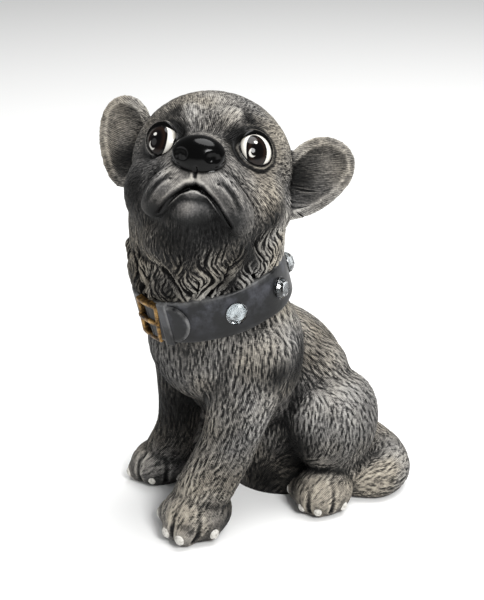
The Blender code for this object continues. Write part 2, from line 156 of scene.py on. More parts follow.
def limb(bm, place, path, steps=9):
    """A roll of clay along path, whose points are x, y, z and the radius there."""
    roll = bmesh.new()
    for x, y, z, radius in smooth_path(path, steps):
        at = place @ Matrix.Translation((x, y, z)) @ Matrix.Scale(radius, 4)
        bmesh.ops.create_icosphere(roll, subdivisions=3, radius=1.0, matrix=at)
    join(bm, roll)


# %% [markdown]
# ## The big masses
#
# First the rough clay: rib cage, belly and haunches as eggs, the spine, legs and tail as rolls, and the
# skull. Nothing is sharp yet. Left and right differ because the pose does: the left foreleg steps forward
# and in.

# %% Torso, legs, tail and skull


def torso(bm):
    """Rib cage, belly and rump, the spine over them and the thick neck."""
    ball(bm, BODY, (-3, -23, 93), (32, 26, 31))
    ball(bm, BODY, (0, -3, 80), (34, 31, 44), pitch=-18)
    ball(bm, BODY, (0, 33, 41), (40, 34, 41))
    both(bm, BODY, (25, -11, 91), (18, 22, 32))
    limb(bm, BODY, [(2, 17, 72, 31), (3, 29, 58, 33.5), (0, 31, 36, 32), (0, 33, 4, 31)])
    limb(bm, BODY, [(0, -11, 96, 34), (0, -21, 121, 34.5), (-1, -23, 138, 37), (-1, -23, 158, 38)])
    limb(bm, BODY, [(15, -40, 164, 24), (12, -38, 148, 23), (6, -32, 130, 22)])


def legs(bm):
    """Forelegs as rolls from shoulder to paw, and the haunches as eggs over folded hind legs."""
    elbow = [(27, -17, 94, 20), (21, -23, 66, 16.5), (17, -28.5, 44, 14.5)]
    limb(bm, BODY, elbow + [(13, -39, 25, 14.5), (10, -44, 14, 14)])
    limb(bm, BODY, [(-28, -14, 92, 18), (-31, -14, 60, 12.5), (-33, -14, 34, 11.5), (-39, -19, 14, 12)])
    both(bm, BODY, (37, 32, 40.5), (18.5, 27, 28.5), pitch=12)
    both(bm, BODY, (35, 18, 46), (14, 15, 20))
    both(bm, BODY, (25, 31, 67), (15, 17, 18))
    for side in (1, -1):
        limb(bm, BODY, [(side * 41, 42, 12, 12), (side * 40, 24, 12, 12)])


def tail(bm):
    """A tapering roll that curls forward round the left haunch."""
    start = [(4, 60, 23, 14), (22, 70, 14, 12), (40, 69, 10.5, 11.5)]
    end = [(53, 59, 9.5, 11), (56, 47, 9, 10.5), (50, 39, 8.5, 9.5), (42, 36, 8, 8)]
    limb(bm, BODY, start + end)


def skull(bm):
    """The round head, its cheeks and brows, the short muzzle and the throat."""
    ball(bm, HEAD, (0, 5, 5), (38.5, 38, 35.5))
    both(bm, HEAD, (20, -7, -12), (18, 22, 20))
    both(bm, HEAD, (14, -20, -12), (15, 17, 16))
    both(bm, HEAD, (9, -24, 19), (10, 7, 9))
    ball(bm, HEAD, (2, 6, -22), (33, 30, 22))
    ball(bm, HEAD, (0, -30, -8), (20, 20, 15))
    ball(bm, HEAD, (0, -30, 3), (12, 18, 9))
    ball(bm, HEAD, (0, -19, -26), (20, 19, 12))
    ball(bm, HEAD, (0, -8, -34), (27, 24, 18))
    ball(bm, BODY, (0, -19, 162), (37.5, 37, 26))


# %% [markdown]
# ## Melting the clay into one skin
#
# Overlapping eggs aren't a surface yet. A voxel remesh gives one closed skin over all of them, and a few
# rounds of smoothing blend the joints as a thumb would. The head and the body are kneaded apart, cut at
# the collar that hides the seam, so that each can have its own fineness: hairs are thinner on the face
# than on the back.

# %% One skin, then two pieces


def from_bmesh(name, bm):
    """A new object holding bm."""
    mesh = bpy.data.meshes.new(name)
    bm.to_mesh(mesh)
    bm.free()
    made = bpy.data.objects.new(name, mesh)
    bpy.context.scene.collection.objects.link(made)
    return made


def settle(thing):
    """Replaces the object's mesh by what its modifiers make of it."""
    graph = bpy.context.evaluated_depsgraph_get()
    mesh = bpy.data.meshes.new_from_object(thing.evaluated_get(graph))
    thing.modifiers.clear()
    thing.data = mesh


def knead(thing, voxel, smoothing):
    """Melts overlapping shapes into one skin and rounds the joints between them."""
    remesh = thing.modifiers.new("one skin", "REMESH")
    remesh.mode = "VOXEL"
    remesh.voxel_size = voxel
    smooth = thing.modifiers.new("rounded", "SMOOTH")
    smooth.factor = 0.5
    smooth.iterations = smoothing
    settle(thing)


def cut_off(bm, point, normal):
    """Cuts away what lies on the side of the plane that normal points to, and closes the cut."""
    everything = bm.verts[:] + bm.edges[:] + bm.faces[:]
    cut = bmesh.ops.bisect_plane(bm, geom=everything, plane_co=point, plane_no=normal, clear_outer=True)
    bmesh.ops.holes_fill(bm, edges=[e for e in cut["geom_cut"] if isinstance(e, bmesh.types.BMEdge)])
    bmesh.ops.recalc_face_normals(bm, faces=bm.faces)


MASS_VOXEL = 1.4

bm = bmesh.new()
for shape in (torso, legs, tail, skull):
    shape(bm)
masses = from_bmesh("masses", bm)
knead(masses, MASS_VOXEL, smoothing=24)
print("masses:", len(masses.data.vertices), "points")

# %% [markdown]
# ## Paws, eyes, nose, lips and ears
#
# The finer forms go on next. Each toe is an egg with a claw at its tip. The lids are thin rolls round the
# balls of the eyes, which are glossy pieces of their own. The ears are half egg shells, hollow to the
# front, and their inner rims run into the skull.

# %% Finer forms
EYE_RADIUS = 10.5
EAR_WALL = 4.5

# The opening of the lids in the eye's own place: its middle across and up, half its width and half its height
LIDS = {1: (0.6, 0.9, 8.7, 7.9), -1: (2.6, -0.4, 6.6, 7.5)}


def toe_place(paw, toe):
    """The middle of a toe, pointing along its own -Y."""
    way, reach = toe
    return paw @ turned((0, 0, 0), yaw=way) @ Matrix.Translation((0, 8 - reach, 6.5))


def paws(bm):
    """A rounded paw with four toes round its front."""
    for paw, toes in PAWS:
        ball(bm, paw, (0, -1, 9.5), (15, 17.5, 12.5))
        for toe in toes:
            ball(bm, toe_place(paw, toe), (0, 0, 0), (6.6, 8.8, 7.5))


def eye_place(side):
    """The eyeball's place, looking along its own -Y; side is 1 on the left and -1 on the right."""
    return HEAD @ turned((side * 18.6, -20.3, 7), yaw=side * 30, pitch=5)


def lid_point(side, angle, spread=1.0):
    """A point of the rim of the lids in the eye's own place, or of the fold outside it."""
    middle_x, middle_z, half_width, half_height = LIDS[side]
    x = middle_x + half_width * math.cos(angle) * spread
    z = middle_z + half_height * math.sin(angle) * spread
    return x, 0.3 - math.sqrt(max(EYE_RADIUS**2 - x * x - z * z, 0)), z


def sockets(bm):
    """The clay balls of the eyes, and the lids as thin rolls round their openings."""
    for side in (1, -1):
        place = eye_place(side)
        ball(bm, place, (0, 0.5, 0), (EYE_RADIUS,) * 3)
        turns = np.linspace(0, math.tau, 19)
        rim = [(*lid_point(side, turn), 1.3 + 0.7 * max(math.sin(turn), 0)) for turn in turns]
        limb(bm, place, rim, steps=3)


def face(bm):
    """The nose, the two halves of the upper lip that hang from under it, and the chin between them."""
    ball(bm, HEAD, (0, -46.5, -1), (12, 7.5, 8.5))
    for side in (1, -1):
        lip = [(3, -43, -9.5, 6), (9, -41.5, -12.5, 7.2), (14.5, -38, -17.5, 7.6)]
        lip += [(19, -34, -22.5, 7.4), (20.5, -32, -26, 6.4)] if side == 1 else [(18, -33, -22.5, 6.4)]
        limb(bm, HEAD, [(side * x, y, z, radius) for x, y, z, radius in lip])
    ball(bm, HEAD, (0, -31, -23), (13, 10.5, 8.5))


def ear(bm, place, side, half_width, half_length, depth):
    """A hollowed leaf: half an egg shell, wider and leaning outwards at its tip, open to the dog's front."""
    shell = bmesh.new()
    bmesh.ops.create_uvsphere(shell, u_segments=48, v_segments=30, radius=1.0)
    everything = shell.verts[:] + shell.edges[:] + shell.faces[:]
    bmesh.ops.bisect_plane(
        shell, geom=everything, plane_co=(0, 0.1, 0), plane_no=(0, -1, 0), clear_outer=True
    )
    for vert in shell.verts:
        vert.co.x *= 1 + 0.2 * vert.co.z
        vert.co.x += 0.15 * side * max(vert.co.z, 0) ** 2
    size = Matrix.Diagonal((half_width, depth, half_length, 1.0))
    bmesh.ops.transform(shell, matrix=size, verts=shell.verts)
    bmesh.ops.recalc_face_normals(shell, faces=shell.faces)
    bmesh.ops.solidify(shell, geom=shell.faces[:], thickness=EAR_WALL)
    bmesh.ops.transform(shell, matrix=place, verts=shell.verts)
    join(bm, shell)


LEFT_EAR = HEAD @ turned((47, 7, 5.2), yaw=24, roll=37)
RIGHT_EAR = HEAD @ turned((-46.5, 7, 12), yaw=-24, roll=-9)


def ears(bm):
    """The left ear lies out to the side, the right one stands up."""
    ear(bm, LEFT_EAR, 1, half_width=15.5, half_length=26, depth=9)
    ear(bm, RIGHT_EAR @ Matrix.Translation((2.5, 0, 0)), -1, half_width=15, half_length=23.5, depth=9)


def tufts(bm):
    """Pointed locks at the lower end of the ruff that hang over the upper edge of the collar."""
    rng = np.random.default_rng(4)
    for turn in np.arange(0, 360, 12):
        turn = turn + rng.uniform(-4, 4)
        end = rng.uniform(10.0, 13.0)
        sway = rng.choice((-1, 1)) * rng.uniform(1.5, 4.0)
        spoke = NECK @ Matrix.Rotation(math.radians(turn), 4, "Z")
        lock = [(32.0, -sway, end + 16, 4.2), (33.2, -0.4 * sway, end + 8, 4.4), (34.2, 0, end + 4, 4.0)]
        lock += [(34.8, 0.6 * sway, end + 1.4, 3.4), (35.2, 1.2 * sway, end + 0.2, 2.5)]
        limb(bm, spoke, lock, steps=6)


# %% [markdown]
# With the finer forms on, each half is kneaded once more, with finer steps and fewer rounds, so that
# toes, lids and lips stay crisp. The steps are as fine as a piece of under 200,000 triangles allows.

# %% Knead head and body
HEAD_VOXEL = 0.72
BODY_VOXEL = 0.97

# How far each half stops from the middle of the collar, where the two would meet
SEAM_GAP = 0.2


def half(name, normal, shapes, voxel, smoothing):
    """The masses on one side of the collar with finer forms added, as one skin."""
    cut = bmesh.new()
    cut.from_mesh(masses.data)
    normal = NECK.to_3x3() @ Vector(normal)
    cut_off(cut, NECK @ Vector((0, 0, 0)) - SEAM_GAP * normal, normal)
    bm = bmesh.new()
    for shape in shapes:
        shape(bm)
    join(bm, cut)
    thing = from_bmesh(name, bm)
    knead(thing, voxel, smoothing)
    print(name, len(thing.data.vertices), "points")
    return thing


head = half("plaster_head", (0, 0, -1), (sockets, face, ears, tufts), HEAD_VOXEL, smoothing=7)
body = half("plaster_body", (0, 0, 1), (paws,), BODY_VOXEL, smoothing=5)
bpy.data.objects.remove(masses)

bm = bmesh.new()
bm.from_mesh(body.data)
cut_off(bm, (0, 0, 0), (0, 0, -1))
bm.to_mesh(body.data)
bm.free()

# %% [markdown]
# ## Working the surface
#
# From here on no faces are added: the points that the skin has are pushed about. `Clay` keeps where they
# start, which way the skin faces there, and how deep each has been cut. `groove` draws a round tool along
# a line, and `comb` scratches one short hair.

# %% Clay with tools


class Clay:
    """The points of a mesh, pushed about by hand and tool."""

    def __init__(self, thing):
        self.mesh = thing.data
        self.count = len(self.mesh.vertices)
        self.start = np.empty((self.count, 3), np.float32)
        self.mesh.vertices.foreach_get("co", self.start.ravel())
        self.normals = np.empty((self.count, 3), np.float32)
        self.mesh.vertex_normals.foreach_get("vector", self.normals.ravel())
        self.points = self.start.copy()
        self.cut = np.zeros(self.count, np.float32)
        self.tree = KDTree(self.count)
        for index, point in enumerate(self.start):
            self.tree.insert(point, index)
        self.tree.balance()
        self.skin = BVHTree.FromPolygons(self.start, [p.vertices for p in self.mesh.polygons])

    def near(self, centre, radius):
        """Indices of the points within radius of centre, and how strongly a soft tool there moves each."""
        found = self.tree.find_range(Vector(centre), radius)
        distance = np.array([f[2] for f in found])
        return np.array([f[1] for f in found], int), (1 - (distance / radius) ** 2) ** 2

    def groove(self, line, width, depth, inward=None):
        """Cuts a round groove of that half width and depth along line, straight inward if that is given."""
        deepest = np.zeros(self.count)
        line = np.array(line)
        depths = np.broadcast_to(depth, len(line))
        for a, b, depth_a, depth_b in zip(line, line[1:], depths, depths[1:]):
            for t in np.linspace(0, 1, 2 + int(4 * np.linalg.norm(b - a) / width)):
                index, strength = self.near(a + (b - a) * t, width)
                deepest[index] = np.maximum(deepest[index], (depth_a + (depth_b - depth_a) * t) * strength)
        way = -self.normals if inward is None else np.array(inward)
        self.points += way * deepest[:, None]
        self.cut = np.maximum(self.cut, deepest)

    def struck(self, place, x, z):
        """Where the skin is first met by a straight line that comes in from the front of place at x, z."""
        inward = (place.to_3x3() @ Vector((0, 1, 0))).normalized()
        return self.skin.ray_cast(place @ Vector((x, -80, z)), inward)[0]

    def nearest(self, point):
        """The point of the skin nearest to point."""
        return self.skin.find_nearest(Vector(point))[0]

    def follow(self, flow, seed, length, stride=0.8):
        """A line along the flow that starts at a point of the skin."""
        index = seed
        line = [self.start[seed]]
        for _ in range(int(length / stride)):
            step = line[-1] + stride * flow[index]
            index = self.tree.find(step)[1]
            line.append(step - self.normals[index] * ((step - self.start[index]) @ self.normals[index]))
        return line

    def comb(self, flow, chances, count, length, width, depth, rng):
        """Scratches hairs along the flow, most where chances is high; chances also sets how deep they go."""
        seeds = rng.choice(self.count, count, p=chances / chances.sum())
        leans = rng.normal(0, 0.16, count)
        lengths = length * rng.uniform(0.6, 1.3, count)
        bends = rng.uniform(-0.05, 0.05, count)
        scratched = np.zeros(self.count)
        for seed, lean, reach, bend in zip(seeds, leans, lengths / 2, bends):
            across = np.cross(self.normals[seed], flow[seed])
            along = flow[seed] + lean * across
            across = np.cross(self.normals[seed], along)
            found = self.tree.find_range(self.start[seed], reach)
            index = np.array([f[1] for f in found], int)
            offset = self.start[index] - self.start[seed]
            u = offset @ along
            side = offset @ across - bend * u * u
            strength = np.clip(1 - (u / reach) ** 2, 0, 1) * np.exp(-((side / width) ** 2))
            scratched[index] = np.maximum(scratched[index], depth * chances[seed] * strength)
        self.points -= self.normals * scratched[:, None]
        self.cut = np.maximum(self.cut, scratched)

    def done(self):
        """Hands the worked points back to the mesh."""
        self.mesh.vertices.foreach_set("co", self.points.ravel())
        self.mesh.update()


head_clay = Clay(head)
body_clay = Clay(body)
print("points to work:", head_clay.count, "on the head and", body_clay.count, "on the body")

# %% [markdown]
# ## Which way the hair lies
#
# A coat looks combed because neighbouring hairs agree. A few directions are given at places on the
# dog, and every point takes the average of them, weighted by nearness and laid flat on its own skin. On
# the head one rule is enough: hair leaves the nose in all directions and turns downwards below the
# cheeks.

# %% Flow of the coat
LIE = [
    ((0, -48, 100), (0, -0.1, -1)), ((0, -40, 75), (0, 0.3, -1)), ((0, -12, 40), (0, 0.2, -1)),
    ((38, -12, 95), (0.1, 0, -1)), ((-38, -12, 95), (-0.1, 0, -1)), ((36, -14, 118), (0.3, 0, -1)),
    ((30, -26, 68), (-0.25, -0.2, -1)), ((14, -48, 42), (-0.2, -0.4, -1)), ((22, -36, 30), (-0.25, -0.6, -1)),
    ((11, -58, 20), (0.05, -1, -0.5)), ((24, -46, 10), (0.3, -1, -0.6)), ((-2, -50, 10), (-0.3, -1, -0.6)),
    ((-33, -24, 55), (0, 0, -1)), ((-42, -14, 50), (0, 0, -1)), ((-41, -34, 16), (-0.2, -1, -0.5)),
    ((38, 12, 84), (0.1, 0.7, -1)), ((-38, 12, 84), (-0.1, 0.7, -1)), ((36, -4, 60), (0, 0.25, -1)),
    ((0, 30, 122), (0, 0.5, -1)), ((0, 56, 84), (0, 0.4, -1)), ((0, 72, 44), (0, 0.2, -1)),
    ((44, 30, 68), (0.3, 0.45, -0.6)), ((55, 34, 45), (0, 0.3, -1)), ((50, 12, 46), (0, -0.3, -1)),
    ((52, 34, 20), (-0.1, -0.3, -1)), ((44, 12, 18), (0, -1, -0.35)), ((30, 10, 12), (0, -1, -0.5)),
    ((-44, 30, 68), (-0.3, 0.45, -0.6)), ((-55, 34, 45), (0, 0.3, -1)), ((-50, 12, 46), (0, -0.3, -1)),
    ((-52, 34, 20), (0.1, -0.3, -1)), ((-44, 12, 18), (0, -1, -0.35)), ((38, 52, 44), (0.1, 0.9, -0.6)),
    ((10, 76, 24), (1, 0.3, -0.2)), ((24, 80, 16), (1, 0.2, -0.1)), ((46, 76, 14), (0.9, -0.6, 0)),
    ((62, 64, 12), (0.5, -1, 0)), ((67, 48, 10), (-0.1, -1, 0)), ((58, 36, 10), (-0.8, -0.8, 0)),
]


def laid_flat(ways, normals):
    """The directions turned to lie along the skin, one long."""
    flat = ways - (ways * normals).sum(1)[:, None] * normals
    return flat / np.maximum(np.linalg.norm(flat, axis=1), 1e-6)[:, None]


def body_flow(clay):
    """Downwards, round the thighs and along the tail, from the listed directions."""
    total = np.zeros((clay.count, 3))
    for place, way in LIE:
        offset = clay.start - np.array(BODY @ Vector(place))
        weight = 1 / ((offset**2).sum(1) + 30.0) ** 2
        total += weight[:, None] * np.array(way) / np.linalg.norm(way)
    return laid_flat(total, clay.normals)


def ramp(values, low, high):
    """0 below low, 1 above high and an even slope between."""
    return np.clip((values - low) / (high - low), 0, 1)


def local(place, points):
    """The points as seen from a place."""
    inverse = np.array(place.inverted())
    return points @ inverse[:3, :3].T + inverse[:3, 3]


def looseness(clay):
    """1 low in the ruff, where the hair hangs in locks, fading upwards; none of it on the ears."""
    low = ramp(-local(NECK, clay.start)[:, 2], -44, -22)
    return low * (1 - ramp(np.abs(local(HEAD, clay.start)[:, 0]), 38, 43))


def head_flow(clay):
    """Away from the nose, and down below the cheeks."""
    at = local(HEAD, clay.start)
    nose = np.array(HEAD @ Vector((0, -46, -1)))
    away = clay.start - nose
    away /= np.linalg.norm(away, axis=1)[:, None]
    low = ramp(-at[:, 2], 8, 34) * ramp(at[:, 1], -44, -20)
    ways = away * (1 - low)[:, None] + np.array((0, 0, -1.0)) * low[:, None]

    # The locks of the ruff swing from side to side as they hang, neighbours out of step
    neck = local(NECK, clay.start)
    turn = np.arctan2(neck[:, 1], neck[:, 0])
    swing = np.sin(0.3 * neck[:, 2] + 2.0 * np.sin(5 * turn) + 1.4 * np.sin(11 * turn + 1))
    sideways = np.stack([-np.sin(turn), np.cos(turn), np.zeros(clay.count)], 1)
    ways += (0.9 * looseness(clay) * swing)[:, None] * sideways
    return laid_flat(ways, clay.normals)


head_lie = head_flow(head_clay)
body_lie = body_flow(body_clay)
print("hair directions set for", head_clay.count + body_clay.count, "points")

# %% [markdown]
# ## Carving the face, the ruff and the toes
#
# These cuts were made in the clay with a loop tool: nostrils, the line between the lips, the frown
# between the brows and the folds round the lids. The ruff is cut in wavy locks that follow the lie of the
# hair, wide ones first and fine lines within them. Three grooves part the toes, and the mould left a thin
# seam on the shoulder.

# %% Carve

# Cuts of the ruff: how many, half width, depth and greatest length, in mm
RUFF_CUTS = ((110, 1.5, 1.4, 19), (750, 0.72, 0.6, 13))


def head_line(clay, points):
    """A line on the skin of the head, from a few places across and up its face."""
    return [clay.struck(HEAD, x, z) for x, z in smooth_path(points, steps=8)]


def mouth_points(side):
    """Where the lips part, across and up the face."""
    corner = (16.5, -29) if side == 1 else (-15, -27)
    return [(0, -15.0), (side * 4, -16.4), (side * 9.5, -20.8), corner]


def carve_face(clay):
    """Nostrils, frown, mouth, the creases beside it, whisker pits, the folds of the lids and the philtrum."""
    front = HEAD.to_3x3() @ Vector((0, -1, 0))
    for side in (1, -1):
        nostril = [(side * 6.2, -3.4), (side * 7.4, -2.9), (side * 8.6, -3.2)]
        clay.groove(head_line(clay, nostril), 3.2, 1.0, -front)
        clay.groove(head_line(clay, [(side * 17.5, 24), (side * 14, 18), (side * 12, 12)]), 5.5, 1.8)
        clay.groove(head_line(clay, mouth_points(side)), 2.8, 4.2 * np.sqrt(np.linspace(1, 0.15, 25)), -front)
        flew = [(side * 10, -11.5), (side * 14.5, -14), (side * 18.5, -18), (side * 21, -23)]
        clay.groove(head_line(clay, flew), 2.4, 1.1 * np.sin(np.linspace(0.3, 2.9, 25)))
        for x, z in ((13.3, -9), (15.8, -11), (10.5, -13.5), (19.5, -9.5)):
            clay.groove(head_line(clay, [(side * x, z), (side * (x + 0.4), z)]), 0.8, 0.6)
        turns = np.linspace(0, math.tau, 60)
        fold = [eye_place(side) @ Vector(lid_point(side, turn, 1.2)) for turn in turns]
        clay.groove([clay.nearest(p) for p in fold], 1.5, 0.5)
    clay.groove(head_line(clay, [(0, -8), (0, -11), (0, -15)]), 1.5, 1.3, -front)


def carve_ruff(clay, flow):
    """Locks of curly hair round the neck: grooves that part them, and finer lines within each."""
    rng = np.random.default_rng(11)
    chances = ramp(local(NECK, clay.start)[:, 2], 9, 12) * looseness(clay)
    for count, width, depth, longest in RUFF_CUTS:
        for seed in rng.choice(clay.count, count, p=chances / chances.sum()):
            line = clay.follow(flow, seed, longest * rng.uniform(0.5, 1))
            clay.groove(line, width, depth * np.sin(0.3 + 2.5 * np.linspace(0, 1, len(line))))


def carve_seam(clay):
    """The thin wavy ridge that the mould's joint left on the left shoulder."""
    seam = [(39, -12.5, 111), (41.5, -10.5, 107.5), (42.5, -13.5, 104), (44, -9.5, 100.5), (44, -7.8, 95)]
    line = [clay.nearest(BODY @ Vector(point)) for point in smooth_path(seam, steps=6)]
    clay.groove(line, 0.95, 0.55, clay.normals)


def carve_toes(clay):
    """Three short creases in each paw, between its toes."""
    rise = [(-19, 1), (-18, 7), (-14, 13), (-9, 17)]
    fade = np.linspace(1, 0.1, 10)
    for paw, toes in PAWS:
        for (way, _), (next_way, _) in zip(toes, toes[1:]):
            crease = paw @ turned((0, 0, 0), yaw=(way + next_way) / 2)
            line = [clay.nearest(crease @ Vector((0, y, z))) for y, z in smooth_path(rise, steps=3)]
            clay.groove(line, 2.1, 1.7 * fade)


carve_face(head_clay)
carve_ruff(head_clay, head_lie)
carve_toes(body_clay)
carve_seam(body_clay)
print("deepest cuts:", round(float(head_clay.cut.max()), 2), round(float(body_clay.cut.max()), 2), "mm")

# %% [markdown]
# ## Hair
#
# Hairs are scratched in two passes, long ones first and finer ones between them. They are long and deep
# on the body, shorter on the face and shallow on the ears, and fade out on the nose, the lips, the eyes
# and the tips of the toes, which the modeller smoothed with a wet brush.

# %% Scratch the hair

# Passes of the comb: how many hairs, their length, half width and depth, in mm
HEAD_HAIRS = ((4200, 4.6, 0.48, 0.32), (8000, 3.0, 0.38, 0.22))
BODY_HAIRS = ((4500, 7.0, 0.5, 0.55), (9000, 4.2, 0.42, 0.32))


def spots(points, places):
    """1 at any of the places, which are a centre and a radius, fading to 0 outside them."""
    most = np.zeros(len(points))
    for centre, radius in places:
        distance = np.linalg.norm(points - np.array(centre), axis=1)
        most = np.maximum(most, np.exp(-((distance / radius) ** 2)))
    return most


def bald_head(clay):
    """Where the head has no hair: nose, eyes, lips and what the collar hides."""
    places = [(HEAD @ Vector((0, -48, -1)), 11)]
    for side in (1, -1):
        places.append((eye_place(side) @ Vector((0, -4, 0)), 10.5))
        lip = ((5, -45, -13, 5), (12, -42, -18, 6.5), (18, -36, -24, 7))
        places += [(HEAD @ Vector((side * x, y, z)), radius) for x, y, z, radius in lip]
    places.append((HEAD @ Vector((0, -38, -22)), 9))
    hidden = ramp(-local(NECK, clay.start)[:, 2], -6, 0)
    return np.maximum(np.clip(1.6 * spots(clay.start, places), 0, 1), hidden)


def bald_body(clay):
    """Where the body has no hair: the tips of the toes, the underside and what the collar hides."""
    places = []
    for paw, toes in PAWS:
        places += [(toe_place(paw, toe) @ Vector((0, -5, 0)), 8) for toe in toes]
        places.append((paw @ Vector((0, -6, 10)), 11))
    hidden = ramp(local(NECK, clay.start)[:, 2], -4, 2)
    under = ramp(-clay.start[:, 2], -2, 0)
    return np.maximum(np.maximum(0.8 * np.clip(1.2 * spots(clay.start, places), 0, 1), hidden), under)


rng = np.random.default_rng(20)
head_bald = bald_head(head_clay)
body_bald = bald_body(body_clay)
head_fur = 1 - head_bald
body_fur = 1 - body_bald
on_ears = ramp(np.abs(local(HEAD, head_clay.start)[:, 0]), 36, 42)
head_depth = head_fur * (1 - 0.6 * on_ears)
for clay, lie, depths, passes in (
    (head_clay, head_lie, head_depth, HEAD_HAIRS),
    (body_clay, body_lie, body_fur, BODY_HAIRS),
):
    for count, length, width, depth in passes:
        clay.comb(lie, depths, count, length, width, depth, rng)
        print(count, "hairs of", length, "mm on", clay.mesh.name)
    clay.done()

# %% [markdown]
# ## What the paint will need to know
#
# Dry brushing leaves light paint on whatever stands out and none in the hollows. So each point is
# compared with the average of its surroundings: a little way round for the hairs and further round for
# brows, toes and rims. These measures are kept on the points as attributes, and the materials read them
# there.

# %% Measure the relief

# Rounds of averaging for the hairs and for the broad forms
HAIR_ROUNDS = 5
FORM_ROUNDS = 90

# How far a hair and a broad form stand out, in mm, where the brush covers them fully
HEAD_HAIR_SIZE = 0.10
BODY_HAIR_SIZE = 0.12
FORM_SIZE = 1.1


def relief(mesh, rounds):
    """How far each point stands out from the average of its surroundings, wider with more rounds."""
    count = len(mesh.vertices)
    points = np.empty((count, 3), np.float32)
    mesh.vertices.foreach_get("co", points.ravel())
    normals = np.empty((count, 3), np.float32)
    mesh.vertex_normals.foreach_get("vector", normals.ravel())
    ends = np.empty((len(mesh.edges), 2), np.int32)
    mesh.edges.foreach_get("vertices", ends.ravel())
    a, b = ends.T
    degree = np.bincount(ends.ravel(), minlength=count)
    level = points.astype(float)
    for _ in range(rounds):
        total = np.empty((count, 3))
        for axis in range(3):
            column = level[:, axis]
            total[:, axis] = np.bincount(a, column[b], count) + np.bincount(b, column[a], count)
        level = 0.5 * level + 0.5 * total / degree[:, None]
    return ((points - level) * normals).sum(1)


def keep(mesh, name, values):
    """Stores one number or one direction for each point."""
    values = np.asarray(values, np.float32)
    kind = "FLOAT_VECTOR" if values.ndim == 2 else "FLOAT"
    attribute = mesh.attributes.new(name, kind, "POINT")
    attribute.data.foreach_set("vector" if values.ndim == 2 else "value", values.ravel())


# Spots of painted shade and painted light, where the dog is shaded or catches the lamp, with some truly
# darker paint among them, such as the brows: the place to measure from, x, y and z there, and how far
# it reaches
DARK_AND_SHADED_HEAD = [
    (HEAD, -16.2, -24.5, 21, 6.5), (HEAD, 17.3, -21.3, 22, 7.5), (HEAD, 12.8, -28.4, 12, 6),
    (HEAD, -12.8, -28.4, 12, 5), (HEAD, 40.8, 8.2, 4, 9), (HEAD, -42.7, 9, 6, 9),
    (HEAD, 34, -15, -21, 8), (HEAD, -31, -22, -17, 12), (HEAD, -15, -37, -28, 9),
    (HEAD, 10.4, -34, -32, 14), (HEAD, -6, -28, -38, 17), (HEAD, 24, -16, -38, 13),
    (NECK, -34, -14, 20, 20), (NECK, -15, -34, 16, 14), (NECK, 10, -37, 16, 13), (NECK, 32, -18, 18, 8),
    (HEAD, 24, -22, 9, 5), (HEAD, -17, -36, -15, 9),
]
LIGHT_AND_LIT_HEAD = [
    (HEAD, -8.5, -30, 19, 5), (HEAD, 11, -28, 24, 6), (HEAD, -2, -20, 31, 12),
    (HEAD, -11.2, -45, -6, 7), (HEAD, 5, -48, -10, 7), (HEAD, 12, -38, -19, 6),
    (HEAD, 27.7, -23, -2, 14), (HEAD, -0.8, -42, -22, 5), (HEAD, 30, -4, 22, 14),
    (LEFT_EAR, 0, 3, -24, 11), (LEFT_EAR, 2, 5, 14, 10), (RIGHT_EAR, -3, 5, 8, 14),
]
DARK_AND_SHADED_BODY = [
    (BODY, -29, -24, 45, 24), (BODY, -33, -14, 62, 20), (BODY, -8, -26, 40, 22),
    (BODY, -20, -36, 76, 16), (BODY, 41, -4, 89, 13), (BODY, 44, -22, 88, 7), (BODY, 34, 3, 36, 12),
    (BODY, 30, 6, 22, 13), (BODY, 12, 4, 8, 14), (BODY, -50, -18, 5, 8), (BODY, -34, -26, 5, 7),
    (BODY, 28, -36, 8, 8),
]
LIGHT_AND_LIT_BODY = [
    (BODY, 39, -9, 109, 11), (BODY, 24, 21, 101, 16), (BODY, 28, -35, 104, 9), (BODY, 37, -27, 70, 9),
    (BODY, 45, 22, 62, 13), (BODY, 54, 32, 13, 9), (BODY, 58, 57, 19, 6), (BODY, 15.5, -54, 23, 9),
    (BODY, 48, 6, 19, 8), (BODY, -40, -32, 18, 6),
]


def painted_spots(clay, rows):
    """How strongly the listed spots of painted shade, painted light and darker paint reach each point."""
    return spots(clay.start, [(place @ Vector((x, y, z)), radius) for place, x, y, z, radius in rows])


def note(clay, lie, fur, dark, light, hair_size):
    """Keeps everything that the paint needs on the points of the mesh."""
    mesh = clay.mesh
    keep(mesh, "hair", relief(mesh, HAIR_ROUNDS) / hair_size)
    keep(mesh, "form", relief(mesh, FORM_ROUNDS) / FORM_SIZE)
    # Painted light and shade: skin facing up is made lighter and undersides darker, and the spots add more
    shade = 0.35 * np.clip(clay.normals[:, 2], -1, 1)
    keep(mesh, "tone_and_shade", painted_spots(clay, light) - 1.2 * painted_spots(clay, dark) + shade)
    keep(mesh, "fur", fur)
    keep(mesh, "across", np.cross(clay.normals, lie))
    print(mesh.name, "keeps", [attribute.name for attribute in mesh.attributes])


head_hair_size = HEAD_HAIR_SIZE / (1 + 0.8 * looseness(head_clay))
note(head_clay, head_lie, head_fur, DARK_AND_SHADED_HEAD, LIGHT_AND_LIT_HEAD, head_hair_size)
note(body_clay, body_lie, body_fur, DARK_AND_SHADED_BODY, LIGHT_AND_LIT_BODY, BODY_HAIR_SIZE)

# %% [markdown]
# Nose, mouth and the rims of the lids were picked out last, in black gloss enamel. A mask says where it
# is.

# %% Where the black gloss goes


